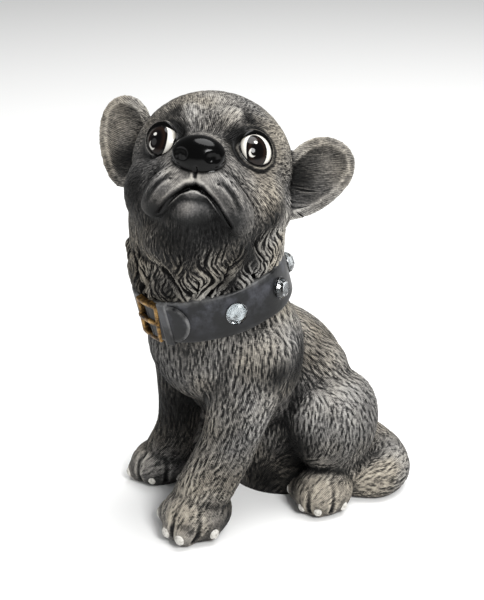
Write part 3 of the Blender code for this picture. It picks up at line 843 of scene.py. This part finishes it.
def enamel_mask(clay):
    """1 on the nose, in the mouth line and on the rims of the lids."""
    at = local(HEAD, clay.start)
    nose = np.linalg.norm((at - (0, -47.5, -1)) / (13.0, 8.8, 9.4), axis=1)
    mask = ramp(-nose, -1.06, -0.97)
    for side in (1, -1):
        eye = local(eye_place(side), clay.start)
        middle_x, middle_z, half_width, half_height = LIDS[side]
        x, z = (eye[:, 0] - middle_x) / half_width, (eye[:, 2] - middle_z) / half_height
        ring = np.abs(np.hypot(x, z) - 0.97)
        wide = 0.08 + 0.12 * np.clip(z, 0, 1)
        mask = np.maximum(mask, ramp(-(ring - wide), -0.06, 0.02) * (eye[:, 1] < 0))
    mouth = np.zeros(clay.count)
    for side in (1, -1):
        for point in head_line(clay, mouth_points(side)):
            index, strength = clay.near(point, 2.4)
            mouth[index] = np.maximum(mouth[index], strength)
    return np.maximum(mask, 0.85 * ramp(mouth, 0.15, 0.7))


keep(head_clay.mesh, "enamel", enamel_mask(head_clay))
keep(body_clay.mesh, "enamel", np.zeros(body_clay.count))
print("enamel on", head_clay.mesh.name)

# %% [markdown]
# ## Colour and node helpers
#
# Colours are written as they are read on a screen, in hex, and one function turns them to the linear
# values that the renderer works in. One more function adds a node, sets it and links it, so a material
# reads as a list.

# %% Helpers for materials


def colour(text):
    """An sRGB hex colour as linear red, green, blue and alpha."""
    values = [int(text[k : k + 2], 16) / 255 for k in (1, 3, 5)]
    return (*[v / 12.92 if v <= 0.04045 else ((v + 0.055) / 1.055) ** 2.4 for v in values], 1.0)


def add(tree, kind, inputs, out=None, stops=(), **settings):
    """Adds a node with its settings and links, and gives its output.

    The inputs are named, or numbered where several have one name; each is a value or an output to link to it.
    """
    made = tree.nodes.new("ShaderNode" + kind)
    for name, value in settings.items():
        setattr(made, name, value)
    for name, value in inputs.items():
        socket = next(s for k, s in enumerate(made.inputs) if s.enabled and name in (k, s.name))
        if isinstance(value, bpy.types.NodeSocket):
            tree.links.new(value, socket)
        else:
            socket.default_value = value
    for number, (position, text) in enumerate(stops):
        if number > 1:
            made.color_ramp.elements.new(position)
        made.color_ramp.elements[number].position = position
        made.color_ramp.elements[number].color = colour(text)
    return next(o for o in made.outputs if o.enabled and out in (None, o.name))


def blank(name, **values):
    """A material with a Principled shader, and plain values on its sockets."""
    made = bpy.data.materials.new(name)
    made.use_nodes = True
    shader = made.node_tree.nodes["Principled BSDF"]
    for socket, value in values.items():
        shader.inputs[socket.replace("_", " ")].default_value = value
    return made, made.node_tree, shader


def dress(thing, finish, node="dog_figure", smooth=True):
    """Gives a piece its finish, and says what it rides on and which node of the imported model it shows."""
    thing.data.materials.append(finish)
    if smooth:
        thing.data.shade_smooth()
    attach(thing, "root")
    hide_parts(node)
    return thing


# %% [markdown]
# ## Painted plaster
#
# Gypsum plaster, sealed, painted charcoal with water paint and dry brushed with two greys. To the eye it
# is dull but not chalky: the dark paint keeps a faint satin on its edges. The finest hairs are half a
# millimetre apart, finer than the mesh, so a striped texture that follows the lie of the coat draws them
# in colour and bump.

# %% Painted plaster

# How much light paint the brush leaves on a level surface, before relief and unevenness are added
LIGHT_PAINT = -0.13

# Strokes 0.8 mm apart in patches of 4 mm, and finer ones 0.5 mm apart in patches of 3 mm, as far apart as the
# real ones; then between which values of the pattern a stroke goes from dark to light
STROKES = ((0.0008, 0.004, 0.28, 0.62), (0.0005, 0.003, 0.3, 0.6))


def painted_plaster():
    made, tree, shader = blank("painted_plaster", IOR=1.46, Specular_IOR_Level=0.17)
    place = add(tree, "TexCoord", {}, out="Object")
    names = ("hair", "form", "tone_and_shade", "fur", "enamel")
    kept = [add(tree, "Attribute", {}, out="Fac", attribute_name=name) for name in names]
    hair, form, tone_and_shade, fur, enamel = kept
    across = add(tree, "Attribute", {}, out="Vector", attribute_name="across")

    strokes = []
    for pitch, patch, low, high in STROKES:
        comb = {"Vector": place, "Scale": 1 / patch, "Frequency": patch / pitch}
        comb |= {"Anisotropy": 1.0, "Orientation": across}
        pattern = add(tree, "TexGabor", comb, out="Value", gabor_type="3D")
        steep = {"Value": pattern, "From Min": low, "From Max": high}
        strokes.append(add(tree, "MapRange", steep, interpolation_type="SMOOTHSTEP"))
    coarse, fine = strokes
    strands = add(tree, "Math", {0: coarse, 1: fine}, operation="ADD")
    strands = add(tree, "Math", {0: strands, 1: 1.0}, operation="SUBTRACT")
    strands = add(tree, "Math", {0: strands, 1: fur}, operation="MULTIPLY")

    # Broad unevenness of the brushing, 25 mm across, smears of 5 mm, and speckle of 1 mm
    patches = add(tree, "TexNoise", {"Vector": place, "Scale": 40.0, "Detail": 3.0}, out="Fac")
    smears = add(tree, "TexNoise", {"Vector": place, "Scale": 200.0, "Detail": 3.0}, out="Fac")
    speckle = add(tree, "TexNoise", {"Vector": place, "Scale": 1000.0, "Detail": 2.0}, out="Fac")

    # How much light paint the brush left: most on what stands out, none in the hollows; the tone also adds
    # painted light on lit and upward-facing parts and painted shade elsewhere
    level = LIGHT_PAINT
    shares = ((hair, 0.17), (form, 0.10), (tone_and_shade, 0.19), (strands, 0.29), (patches, 0.36), (smears, 0.30))
    for measure, share in (*shares, (speckle, 0.40)):
        level = add(tree, "Math", {0: measure, 1: share, 2: level}, operation="MULTIPLY_ADD")
    greys = [(0.0, "#070707"), (0.2, "#131313"), (0.4, "#2f2f2e")]
    greys += [(0.6, "#5c5a58"), (0.8, "#8f8c87"), (1.0, "#b4b1aa")]
    paint = add(tree, "ValToRGB", {"Fac": level}, out="Color", stops=greys)

    # The greys drift a little from cold to warm, over 35 mm
    tinted = add(tree, "TexNoise", {"Vector": place, "Scale": 28.0, "Detail": 2.0}, out="Fac")
    tints = [(0.36, "#f7f8fb"), (0.5, "#fffdfa"), (0.66, "#fff8ec")]
    tint = add(tree, "ValToRGB", {"Fac": tinted}, out="Color", stops=tints)
    paint = add(tree, "Mix", {"Factor": 1.0, "A": paint, "B": tint}, data_type="RGBA", blend_type="MULTIPLY")

    # Painted shade, with some truly dark paint among it: in recesses, under the dog and on the side away
    # from the lamp the colour is darkened nearly to black
    dark = {"Value": tone_and_shade, "From Min": -1.3, "From Max": 0.1, "To Min": 0.07, "To Max": 1.0}
    shade = add(tree, "MapRange", dark)
    paint = add(tree, "Mix", {"Factor": 1.0, "A": paint, "B": shade}, data_type="RGBA", blend_type="MULTIPLY")
    paint = add(tree, "Mix", {"Factor": enamel, "A": paint, "B": colour("#020202")}, data_type="RGBA")
    tree.links.new(paint, shader.inputs["Base Color"])

    # The dark coat has a faint satin, the dry brushed one is dull, and the enamel is glossy
    dull = {"Value": level, "From Min": 0.1, "From Max": 0.8, "To Min": 0.45, "To Max": 0.75}
    rough = add(tree, "MapRange", dull)
    gloss = add(tree, "Mix", {"Factor": enamel, "A": rough, "B": 0.14})
    tree.links.new(gloss, shader.inputs["Roughness"])

    height = add(tree, "Math", {0: speckle, 1: 0.3, 2: strands}, operation="MULTIPLY_ADD")
    bare = add(tree, "Math", {0: 0.6, 1: enamel}, operation="SUBTRACT", use_clamp=True)
    height = add(tree, "Math", {0: height, 1: bare}, operation="MULTIPLY")
    bump = add(tree, "Bump", {"Height": height, "Strength": 0.9, "Distance": 0.0006})
    tree.links.new(bump, shader.inputs["Normal"])
    return made


def finish_plaster(thing, finish):
    """Brings a clay piece to metres and gives it its finish."""
    thing.data.transform(Matrix.Scale(UNIT, 4))
    dress(thing, finish)
    triangles = sum(len(p.vertices) - 2 for p in thing.data.polygons)
    print(thing.name, triangles, "triangles")


plaster = painted_plaster()
finish_plaster(head, plaster)
finish_plaster(body, plaster)

# %% [markdown]
# ## Eyes
#
# Each eye is a smooth ball, painted white with a tall dark iris under gloss enamel. The iris is drawn by
# distance from its middle: a Mapping node brings the eye's own place to the origin and stretches it, so
# that one unit is the rim of the iris. The small light marks, a crescent dabbed with a brush and a dot
# above it, are drawn the same way.

# %% Eyes


def gloss_enamel(name, side, iris, iris_size, tilt, glint):
    """Gloss enamel over white and brown-black: a hard clear shine, which makes the eye look wet."""
    made, tree, shader = blank(name, Roughness=0.07, IOR=1.45, Specular_IOR_Level=0.25)
    place = add(tree, "TexCoord", {}, out="Object")

    def round_mark(centre, size, lean=0):
        """Distance from a mark on the front of the eye, 1 at its rim."""
        spot = Matrix.Scale(UNIT, 4) @ eye_place(side) @ turned((centre[0], 0, centre[1]), roll=lean)
        stretch = {
            "Vector": place,
            "Location": spot.translation,
            "Rotation": spot.to_euler(),
            "Scale": (size[0] * UNIT, UNIT, size[1] * UNIT),
        }
        flat = add(tree, "Mapping", stretch, vector_type="TEXTURE")
        flat = add(tree, "VectorMath", {0: flat, 1: (1, 0, 1)}, operation="MULTIPLY")
        return add(tree, "VectorMath", {0: flat}, operation="LENGTH")

    rings = [(0.0, "#020101"), (0.5, "#050303"), (0.74, "#1c110b")]
    rings += [(0.88, "#060404"), (0.96, "#020202"), (1.0, "#d4d1c9")]
    base = add(tree, "ValToRGB", {"Fac": round_mark(iris, iris_size, tilt)}, out="Color", stops=rings)
    x, z, half_width, half_height = LIDS[side]

    # Painted shade where the ball meets the lids: the white darkens towards the rim of the opening
    shadow = [(0.80, "#ffffff"), (0.93, "#8f8c87"), (1.0, "#171615")]
    opening = round_mark((x, z), (half_width, half_height))
    rim = add(tree, "ValToRGB", {"Fac": opening}, out="Color", stops=shadow)
    base = add(tree, "Mix", {"Factor": 1.0, "A": base, "B": rim}, data_type="RGBA", blend_type="MULTIPLY")

    # A light crescent dabbed on with a small brush, and a light dot above it
    disc = round_mark(glint, (1.8, 2.2))
    disc = add(tree, "MapRange", {"Value": disc, "From Min": 1.0, "From Max": 0.85})
    bite = round_mark((glint[0] + 0.75, glint[1] + 0.7), (1.75, 2.1))
    bite = add(tree, "MapRange", {"Value": bite, "From Min": 0.9, "From Max": 1.05})
    dot = round_mark((glint[0] + 1.0, glint[1] + 5.0), (0.95, 0.85))
    dot = add(tree, "MapRange", {"Value": dot, "From Min": 1.0, "From Max": 0.8})
    marks = add(tree, "Math", {0: disc, 1: bite}, operation="MULTIPLY")
    marks = add(tree, "Math", {0: marks, 1: dot}, operation="MAXIMUM")
    final = add(tree, "Mix", {"Factor": marks, "A": base, "B": colour("#c9c7c1")}, data_type="RGBA")
    tree.links.new(final, shader.inputs["Base Color"])
    return made


def eye(name, side, finish):
    """A ball a little proud of the clay inside the lids, and drawn back under them."""
    bm = bmesh.new()
    bmesh.ops.create_uvsphere(bm, u_segments=96, v_segments=64, radius=EYE_RADIUS + 0.1)
    x, z, half_width, half_height = LIDS[side]
    for vert in bm.verts:
        away = math.hypot((vert.co.x - x) / half_width, (vert.co.z - z) / half_height)
        vert.co *= 1 - 0.1 * min(max((away - 1) / 0.2, 0), 1)
    bmesh.ops.transform(bm, matrix=Matrix.Scale(UNIT, 4) @ eye_place(side), verts=bm.verts)
    dress(from_bmesh(name, bm), finish)


eye("eye_left", 1, gloss_enamel("gloss_enamel_left", 1, (-0.3, -0.5), (5.2, 7.9), -10, (-2.5, -1.8)))
eye("eye_right", -1, gloss_enamel("gloss_enamel_right", -1, (1.2, -0.9), (5.3, 7.6), 4, (-0.4, -3.6)))
print("eyes", 2 * EYE_RADIUS, "mm across")

# %% [markdown]
# ## Claws
#
# The claws are small smooth drops at the tips of the toes, picked out in off-white. Each is an egg that
# stands a little out of its toe.

# %% Claws


def claw_paint():
    """Off-white water paint, half matt: small pale drops, toned down by grime in patches of 1.4 mm."""
    made, tree, shader = blank("claw_paint", Roughness=0.42, IOR=1.48)
    place = add(tree, "TexCoord", {}, out="Object")
    grime = add(tree, "TexNoise", {"Vector": place, "Scale": 700.0, "Detail": 3.0}, out="Fac")
    tones = [(0.3, "#8f8b84"), (0.48, "#c3c0b9"), (0.8, "#d8d6d0")]
    paint = add(tree, "ValToRGB", {"Fac": grime}, out="Color", stops=tones)
    tree.links.new(paint, shader.inputs["Base Color"])
    bump = add(tree, "Bump", {"Height": grime, "Strength": 0.3, "Distance": 0.0003})
    tree.links.new(bump, shader.inputs["Normal"])
    return made


bm = bmesh.new()
for paw, toes in PAWS:
    for toe in toes:
        ball(bm, toe_place(paw, toe), (0, -7.9, -1.2), (2.2, 1.5, 2.7), pitch=-14)
bmesh.ops.transform(bm, matrix=Matrix.Scale(UNIT, 4), verts=bm.verts)
dress(from_bmesh("claws", bm), claw_paint())
print("claws:", sum(len(toes) for _, toes in PAWS))

# %% [markdown]
# ## Collar
#
# The collar imitates a leather strap, but it is plaster painted blue-black with a satin finish, scuffed
# lighter on its edges. A profile with round corners is spun round the neck. The strap end, the keeper and
# the buckle are made flat, X along the strap and Y off its face, and then wrapped round the neck
# together.

# %% Sizes of the collar
COLLAR_RADIUS = 0.0377
COLLAR_WIDTH = 0.021
BUCKLE_TURN = math.radians(263)
BUCKLE_LENGTH = 0.0150

# Edges that turn more than this stay sharp in the shading
SHARP = math.radians(40)

# The collar's own place, in metres
COLLAR = Matrix.Scale(UNIT, 4) @ NECK @ Matrix.Scale(1 / UNIT, 4)


def wrap(bm):
    """Bends a shape that was made flat round the collar."""
    for vert in bm.verts:
        along, off, across = vert.co
        turn = BUCKLE_TURN + along / COLLAR_RADIUS
        out = COLLAR_RADIUS + off
        vert.co = COLLAR @ Vector((out * math.cos(turn), out * math.sin(turn), across))
    bmesh.ops.recalc_face_normals(bm, faces=bm.faces)


def crisp(bm, name, finish):
    """Turns a bmesh into a finished piece whose shading keeps its sharp edges."""
    thing = dress(from_bmesh(name, bm), finish)
    thing.data.set_sharp_from_angle(angle=SHARP)
    return thing


def round_edges(bm, edges, width, segments=4):
    """Rounds edges as a worn mould does."""
    bmesh.ops.bevel(
        bm, geom=edges, offset=width, segments=segments, profile=0.5, affect="EDGES", material=-1
    )


print("collar", round(2000 * COLLAR_RADIUS, 1), "mm across and", 1000 * COLLAR_WIDTH, "mm wide")


# %% Collar paint


def collar_paint():
    """Blue-black satin paint: it passes for worn leather, in scuffs of 11 mm and a grain of 1 mm."""
    made, tree, shader = blank("collar_paint", IOR=1.5, Specular_IOR_Level=0.28)
    place = add(tree, "TexCoord", {}, out="Object")
    edge = add(tree, "Attribute", {}, out="Fac", attribute_name="edge")
    low = add(tree, "Attribute", {}, out="Fac", attribute_name="low")
    rubbed = {"Vector": place, "Scale": 90.0, "Detail": 5.0, "Roughness": 0.62}
    scuffs = add(tree, "TexNoise", rubbed, out="Fac")
    grain = add(tree, "TexNoise", {"Vector": place, "Scale": 900.0, "Detail": 2.0}, out="Fac")
    tones = [(0.36, "#060708"), (0.5, "#131417"), (0.68, "#3c3d43")]
    paint = add(tree, "ValToRGB", {"Fac": scuffs}, out="Color", stops=tones)
    # Painted shade: the paint goes nearly black on the strap's lower half and inside the buckle frame
    paint = add(tree, "Mix", {"Factor": low, "A": paint, "B": colour("#050506")}, data_type="RGBA")
    worn = add(tree, "MapRange", {"Value": scuffs, "From Min": 0.38, "From Max": 0.7})
    worn = add(tree, "Math", {0: worn, 1: edge}, operation="MULTIPLY")
    paint = add(tree, "Mix", {"Factor": worn, "A": paint, "B": colour("#7c7c7b")}, data_type="RGBA")
    tree.links.new(paint, shader.inputs["Base Color"])
    satin = {"Value": scuffs, "From Min": 0.3, "From Max": 0.7, "To Min": 0.34, "To Max": 0.52}
    rough = add(tree, "MapRange", satin)
    tree.links.new(rough, shader.inputs["Roughness"])
    height = add(tree, "Math", {0: grain, 1: 0.25, 2: scuffs}, operation="MULTIPLY_ADD")
    bump = add(tree, "Bump", {"Height": height, "Strength": 0.5, "Distance": 0.0005})
    tree.links.new(bump, shader.inputs["Normal"])
    return made


strap_paint = collar_paint()
print(strap_paint.name, "has", len(strap_paint.node_tree.nodes), "nodes")

# %% Band


def mark_edges(thing, low, high):
    """Keeps nearness to the long edges, for the wear there, and painted shade below and inside the buckle."""
    points = np.array([v.co for v in thing.data.vertices])
    across = local(COLLAR, points)[:, 2]
    keep(thing.data, "edge", ramp(np.abs(across), low, high) * np.where(across > 0, 1.0, 0.3))
    # Painted shade: darker towards the lower edge, and darkest where the strap lies inside the buckle frame
    x, y = local(COLLAR, points)[:, :2].T
    from_buckle = COLLAR_RADIUS * np.abs((np.arctan2(y, x) - BUCKLE_TURN + math.pi) % math.tau - math.pi)
    shaded = ramp(-from_buckle, -0.5 * BUCKLE_LENGTH, -0.4 * BUCKLE_LENGTH)
    keep(thing.data, "low", np.maximum(0.85 * ramp(-across, -0.004, 0.008), shaded))


def band():
    """A profile with round corners, spun round the neck and made a little uneven by hand."""
    bm = bmesh.new()
    half_width = COLLAR_WIDTH / 2
    radius = 0.0011
    profile = [(COLLAR_RADIUS - 0.006, half_width - 0.0004)]
    for turn in np.linspace(90, 0, 7):
        x = COLLAR_RADIUS - radius + radius * math.cos(math.radians(turn))
        profile.append((x, half_width - radius + radius * math.sin(math.radians(turn))))
    inner = np.linspace(half_width - radius, 0, 7)[1:-1]
    profile += [(COLLAR_RADIUS, z) for z in inner]
    profile += [(x, -z) for x, z in reversed(profile)]
    verts = [bm.verts.new((x, 0, z)) for x, z in profile]
    edges = [bm.edges.new(pair) for pair in zip(verts, verts[1:] + verts[:1])]
    bmesh.ops.spin(bm, geom=verts + edges, axis=(0, 0, 1), angle=math.tau, steps=180, use_merge=True)
    for vert in bm.verts:
        turn = math.atan2(vert.co.y, vert.co.x)
        uneven = 1 + 0.004 * math.sin(5 * turn + 1) + 0.003 * math.sin(11 * turn)
        vert.co.x *= uneven
        vert.co.y *= uneven
        vert.co.z += 0.00018 * math.sin(7 * turn + 2)
    bmesh.ops.transform(bm, matrix=COLLAR, verts=bm.verts)
    bmesh.ops.recalc_face_normals(bm, faces=bm.faces)
    return crisp(bm, "collar_band", strap_paint)


collar = band()
mark_edges(collar, 0.0092, 0.0105)
print(collar.name, len(collar.data.polygons), "faces")

# %% [markdown]
# The strap end lies on the band past the keeper, with a round tip. It starts as a circle, one half of it
# stretched back to the buckle, then lifted, bevelled and cut across so that it can bend.

# %% Strap end and keeper
STRAP_END_LENGTH = 0.0229
STRAP_END_THICKNESS = 0.0026
KEEPER_WIDTH = 0.0046
KEEPER_THICKNESS = 0.0024

# How far apart a flat shape is cut across, so that it bends smoothly
SLICE = 0.0011


def slices(bm, start, end, step):
    """Cuts a flat shape across every step so that it bends smoothly."""
    for x in np.arange(start + step, end, step):
        everything = bm.verts[:] + bm.edges[:] + bm.faces[:]
        bmesh.ops.bisect_plane(bm, geom=everything, plane_co=(x, 0, 0), plane_no=(1, 0, 0))


def strap_end():
    """The tongue of the strap past the buckle, with its round tip and an inset outline on its face."""
    bm = bmesh.new()
    half_width = 0.0093
    bmesh.ops.create_circle(bm, cap_ends=True, segments=48, radius=half_width)
    for vert in bm.verts:
        along = vert.co.x + STRAP_END_LENGTH - half_width if vert.co.x > 0 else 0
        vert.co = (along, -0.001, vert.co.y)
    grown = bmesh.ops.extrude_face_region(bm, geom=bm.faces[:])
    lifted = [g for g in grown["geom"] if isinstance(g, bmesh.types.BMVert)]
    bmesh.ops.translate(bm, vec=(0, STRAP_END_THICKNESS, 0), verts=lifted)
    rim = [e for e in bm.edges if min(v.co.y for v in e.verts) > 0.001]
    round_edges(bm, rim, 0.0006, segments=3)
    face = max(bm.faces, key=lambda f: f.calc_center_median().y)
    bmesh.ops.inset_region(bm, faces=[face], thickness=0.0012)
    slices(bm, 0, STRAP_END_LENGTH, 0.0012)
    tip = np.array([v.co for v in bm.verts])
    wrap(bm)
    thing = crisp(bm, "strap_end", strap_paint)
    from_middle = np.hypot(np.maximum(tip[:, 0] - (STRAP_END_LENGTH - half_width), 0), tip[:, 2])
    keep(thing.data, "edge", ramp(from_middle, 0.0080, 0.0088))
    # Painted shade: darker towards the lower edge and where it lies inside the buckle frame
    shaded = ramp(-tip[:, 0], -0.5 * BUCKLE_LENGTH, -0.4 * BUCKLE_LENGTH)
    keep(thing.data, "low", np.maximum(0.85 * ramp(-tip[:, 2], 0, 0.009), shaded))
    return thing


def keeper():
    """The loop that holds the strap end down beside the buckle."""
    bm = bmesh.new()
    width, thick = KEEPER_WIDTH, KEEPER_THICKNESS
    along = BUCKLE_LENGTH / 2 + 0.0012 + width / 2
    size = Matrix.Diagonal((width, thick + 0.001, COLLAR_WIDTH + 0.0006, 1))
    bmesh.ops.create_cube(bm, size=1.0, matrix=Matrix.Translation((along, (thick - 0.001) / 2, 0)) @ size)
    outer = [e for e in bm.edges if min(v.co.y for v in e.verts) > 0]
    round_edges(bm, outer, 0.0009)
    slices(bm, along - width / 2, along + width / 2, SLICE)
    wrap(bm)
    return crisp(bm, "collar_keeper", strap_paint)


strap_end()
mark_edges(keeper(), 0.0096, 0.0108)
print("strap end", 1000 * STRAP_END_LENGTH, "mm, keeper", 1000 * KEEPER_WIDTH, "mm")

# %% [markdown]
# ## Buckle
#
# The buckle was moulded with the rest and picked out in gilt paint, rubbed brown in spots. The
# frame is a grid of nine cells with the middle one taken out and the rest given a wall, then bevelled
# until its bars look cast. The prong is a bar across it.

# %% Gilt paint


def gilt_paint():
    """Gilt paint, brass flakes in varnish: a warm broken shine, rubbed brown in spots of 2.6 mm."""
    made, tree, shader = blank("gilt_paint", Metallic=0.75)
    place = add(tree, "TexCoord", {}, out="Object")
    rubbed = {"Vector": place, "Scale": 380.0, "Detail": 4.0, "Roughness": 0.65}
    rub = add(tree, "TexNoise", rubbed, out="Fac")
    tones = [(0.36, "#1a120a"), (0.5, "#644a25"), (0.7, "#a98750")]
    paint = add(tree, "ValToRGB", {"Fac": rub}, out="Color", stops=tones)
    tree.links.new(paint, shader.inputs["Base Color"])
    worn = {"Value": rub, "From Min": 0.3, "From Max": 0.7, "To Min": 0.55, "To Max": 0.33}
    rough = add(tree, "MapRange", worn)
    tree.links.new(rough, shader.inputs["Roughness"])
    bump = add(tree, "Bump", {"Height": rub, "Strength": 0.6, "Distance": 0.0003})
    tree.links.new(bump, shader.inputs["Normal"])
    return made


gilt = gilt_paint()
print(gilt.name, "has", len(gilt.node_tree.nodes), "nodes")

# %% Buckle and prong
BUCKLE_HEIGHT = 0.0205
BUCKLE_BAR = 0.0025
BUCKLE_SHIFT = 0.0007
BUCKLE_LEAN = math.radians(9)


def lean(bm):
    """Turns the buckle a little on the strap, as it was moulded, top forward."""
    bmesh.ops.rotate(bm, matrix=Matrix.Rotation(BUCKLE_LEAN, 3, "Y"), verts=bm.verts)
    bmesh.ops.translate(bm, vec=(0, 0, BUCKLE_SHIFT), verts=bm.verts)


def buckle():
    """The frame, lying on the strap."""
    bm = bmesh.new()
    bmesh.ops.create_grid(bm, x_segments=3, y_segments=3, size=1.0)
    inside = 2 * BUCKLE_BAR
    for vert in bm.verts:
        x = math.copysign((BUCKLE_LENGTH if abs(vert.co.x) > 0.5 else BUCKLE_LENGTH - inside) / 2, vert.co.x)
        z = math.copysign((BUCKLE_HEIGHT if abs(vert.co.y) > 0.5 else BUCKLE_HEIGHT - inside) / 2, vert.co.y)
        vert.co = (x, 0.0022, z)
    middle = min(bm.faces, key=lambda f: f.calc_center_median().length)
    bmesh.ops.delete(bm, geom=[middle], context="FACES")
    corners = [e for e in bm.edges if len(e.link_faces) == 1]
    grown = bmesh.ops.extrude_edge_only(bm, edges=corners)
    lowered = [g for g in grown["geom"] if isinstance(g, bmesh.types.BMVert)]
    bmesh.ops.translate(bm, vec=(0, -0.0032, 0), verts=lowered)
    back = [e for e in bm.edges if len(e.link_faces) == 1]
    bmesh.ops.bridge_loops(bm, edges=back)
    bmesh.ops.recalc_face_normals(bm, faces=bm.faces)
    sharp = [e for e in bm.edges if e.calc_face_angle(0) > 0.5 and min(v.co.y for v in e.verts) > 0]
    upright = [e for e in bm.edges if abs(e.verts[0].co.y - e.verts[1].co.y) > 0.001]
    round_edges(bm, sharp + upright, 0.0009)
    lean(bm)
    slices(bm, -0.6 * BUCKLE_LENGTH, 0.6 * BUCKLE_LENGTH, SLICE)
    wrap(bm)
    return crisp(bm, "buckle_frame", gilt)


def prong():
    """The bar across the frame that goes through the strap."""
    bm = bmesh.new()
    size = Matrix.Diagonal((BUCKLE_LENGTH * 0.98, 0.0022, 0.0026, 1))
    bmesh.ops.create_cube(bm, size=1.0, matrix=Matrix.Translation((0, 0.0016, 0)) @ size)
    round_edges(bm, bm.edges[:], 0.0008)
    lean(bm)
    slices(bm, -0.6 * BUCKLE_LENGTH, 0.6 * BUCKLE_LENGTH, SLICE)
    wrap(bm)
    return crisp(bm, "buckle_prong", gilt)


buckle()
prong()
print("buckle", 1000 * BUCKLE_LENGTH, "by", 1000 * BUCKLE_HEIGHT, "mm")

# %% [markdown]
# ## Glass stones
#
# Flat-backed glass stones with a mirrored back are glued round the strap. The light goes in through the
# facets, meets the foil and comes back out of another facet, which is what makes them sparkle. So each
# has a clear faceted dome and a thin silver disc behind it.

# %% Stones
STONE_RADIUS = 0.0051
STONE_STEP = 0.0276 / COLLAR_RADIUS
FIRST_STONE_TURN = math.radians(332)
STONE_COUNT = 6

# Lift of the stone off the band, and the foil's thickness, drop and size beyond the stone
STONE_LIFT = 0.00035
FOIL_THICKNESS = 0.0003
FOIL_DROP = 0.00022
FOIL_RADIUS = STONE_RADIUS * 1.04


def silver_foil():
    """Silver foil, crinkled every 2 mm: a grey mirror that throws the light back through the glass."""
    made, tree, shader = blank("silver_foil", Metallic=1.0)
    place = add(tree, "TexCoord", {}, out="Object")
    crinkle = add(tree, "TexNoise", {"Vector": place, "Scale": 500.0, "Detail": 2.0}, out="Fac")
    tones = [(0.3, "#3f4041"), (0.7, "#858687")]
    paint = add(tree, "ValToRGB", {"Fac": crinkle}, out="Color", stops=tones)
    tree.links.new(paint, shader.inputs["Base Color"])
    rough = add(tree, "MapRange", {"Value": crinkle, "To Min": 0.14, "To Max": 0.34})
    tree.links.new(rough, shader.inputs["Roughness"])
    return made


# Clear glass, polished: it bends the mirror behind it into flashes and has a sharp shine of its own
glass_colour = colour("#c9cdcf")
glass, _, _ = blank("clear_glass", Base_Color=glass_colour, Roughness=0.0, IOR=1.52, Transmission_Weight=1.0)
foil = silver_foil()


def stone(number):
    """A faceted dome in three rising rings, and its foil."""
    turn = Matrix.Rotation(FIRST_STONE_TURN + number * STONE_STEP, 4, "Z")
    out = Matrix.Rotation(math.pi / 2, 4, "Y")
    place = COLLAR @ turn @ Matrix.Translation((COLLAR_RADIUS + STONE_LIFT, 0, 0)) @ out
    bm = bmesh.new()
    bmesh.ops.create_circle(bm, cap_ends=True, segments=14, radius=STONE_RADIUS)
    rings = ((STONE_RADIUS, 0.0008), (STONE_RADIUS * 0.78, 0.0014), (STONE_RADIUS * 0.5, 0.0011))
    top = bm.faces[:]
    for radius, rise in rings:
        grown = bmesh.ops.extrude_face_region(bm, geom=top)
        verts = [g for g in grown["geom"] if isinstance(g, bmesh.types.BMVert)]
        top = [g for g in grown["geom"] if isinstance(g, bmesh.types.BMFace)]
        bmesh.ops.translate(bm, vec=(0, 0, rise), verts=verts)
        wide = radius / max(v.co.to_2d().length for v in verts)
        bmesh.ops.scale(bm, vec=(wide, wide, 1), verts=verts)
    bmesh.ops.transform(bm, matrix=place, verts=bm.verts)
    bmesh.ops.recalc_face_normals(bm, faces=bm.faces)
    jewel = from_bmesh(f"stone_{number + 1}", bm)

    bm = bmesh.new()
    back = place @ Matrix.Translation((0, 0, -FOIL_DROP))
    size = {"radius1": FOIL_RADIUS, "radius2": FOIL_RADIUS, "depth": FOIL_THICKNESS}
    bmesh.ops.create_cone(bm, cap_ends=True, segments=28, matrix=back, **size)
    mirror = from_bmesh(f"stone_foil_{number + 1}", bm)
    for piece, finish, slot in ((jewel, glass, "clear_glass"), (mirror, foil, "silver_foil")):
        dress(piece, finish, node=f"rhinestone_{number + 1}", smooth=False)


for number in range(STONE_COUNT):
    stone(number)
print("stones:", STONE_COUNT)

# %% [markdown]
# ## Floor and light
#
# A pale sheet to stand on, a soft lamp on the dog's left that shapes it, a weak one on its right, and a
# large one overhead that whitens the paper. A dim pale sky fills the shadows.

# %% Studio
bm = bmesh.new()
bmesh.ops.create_grid(bm, x_segments=1, y_segments=1, size=3.0)
floor = from_bmesh("floor", bm)

# White paper, matt: no shine, only the dog's soft shadow
paper, _, _ = blank("paper", Base_Color=colour("#fafaf9"), Roughness=0.9)
floor.data.materials.append(paper)


def softbox(name, place, size, power):
    """A round lamp of that width and power, turned to the dog."""
    lamp = bpy.data.lights.new(name, "AREA")
    lamp.shape = "DISK"
    lamp.size = size
    lamp.energy = power
    thing = bpy.data.objects.new(name, lamp)
    thing.location = place
    thing.rotation_euler = (TARGET - Vector(place)).to_track_quat("-Z", "Y").to_euler()
    bpy.context.scene.collection.objects.link(thing)


softbox("key", (0.85, -0.35, 0.8), 0.4, 11)
softbox("fill", (-0.45, -0.9, 0.5), 0.5, 1.0)
softbox("top", (0.15, 0.3, 1.7), 1.3, 32)
world = bpy.data.worlds.new("pale sky")
world.use_nodes = True
sky = world.node_tree.nodes["Background"]
sky.inputs["Color"].default_value = colour("#f6f7f8")
sky.inputs["Strength"].default_value = 0.3
bpy.context.scene.world = world
bpy.context.scene.view_settings.view_transform = "Standard"
print("lamps:", len(bpy.data.lights))
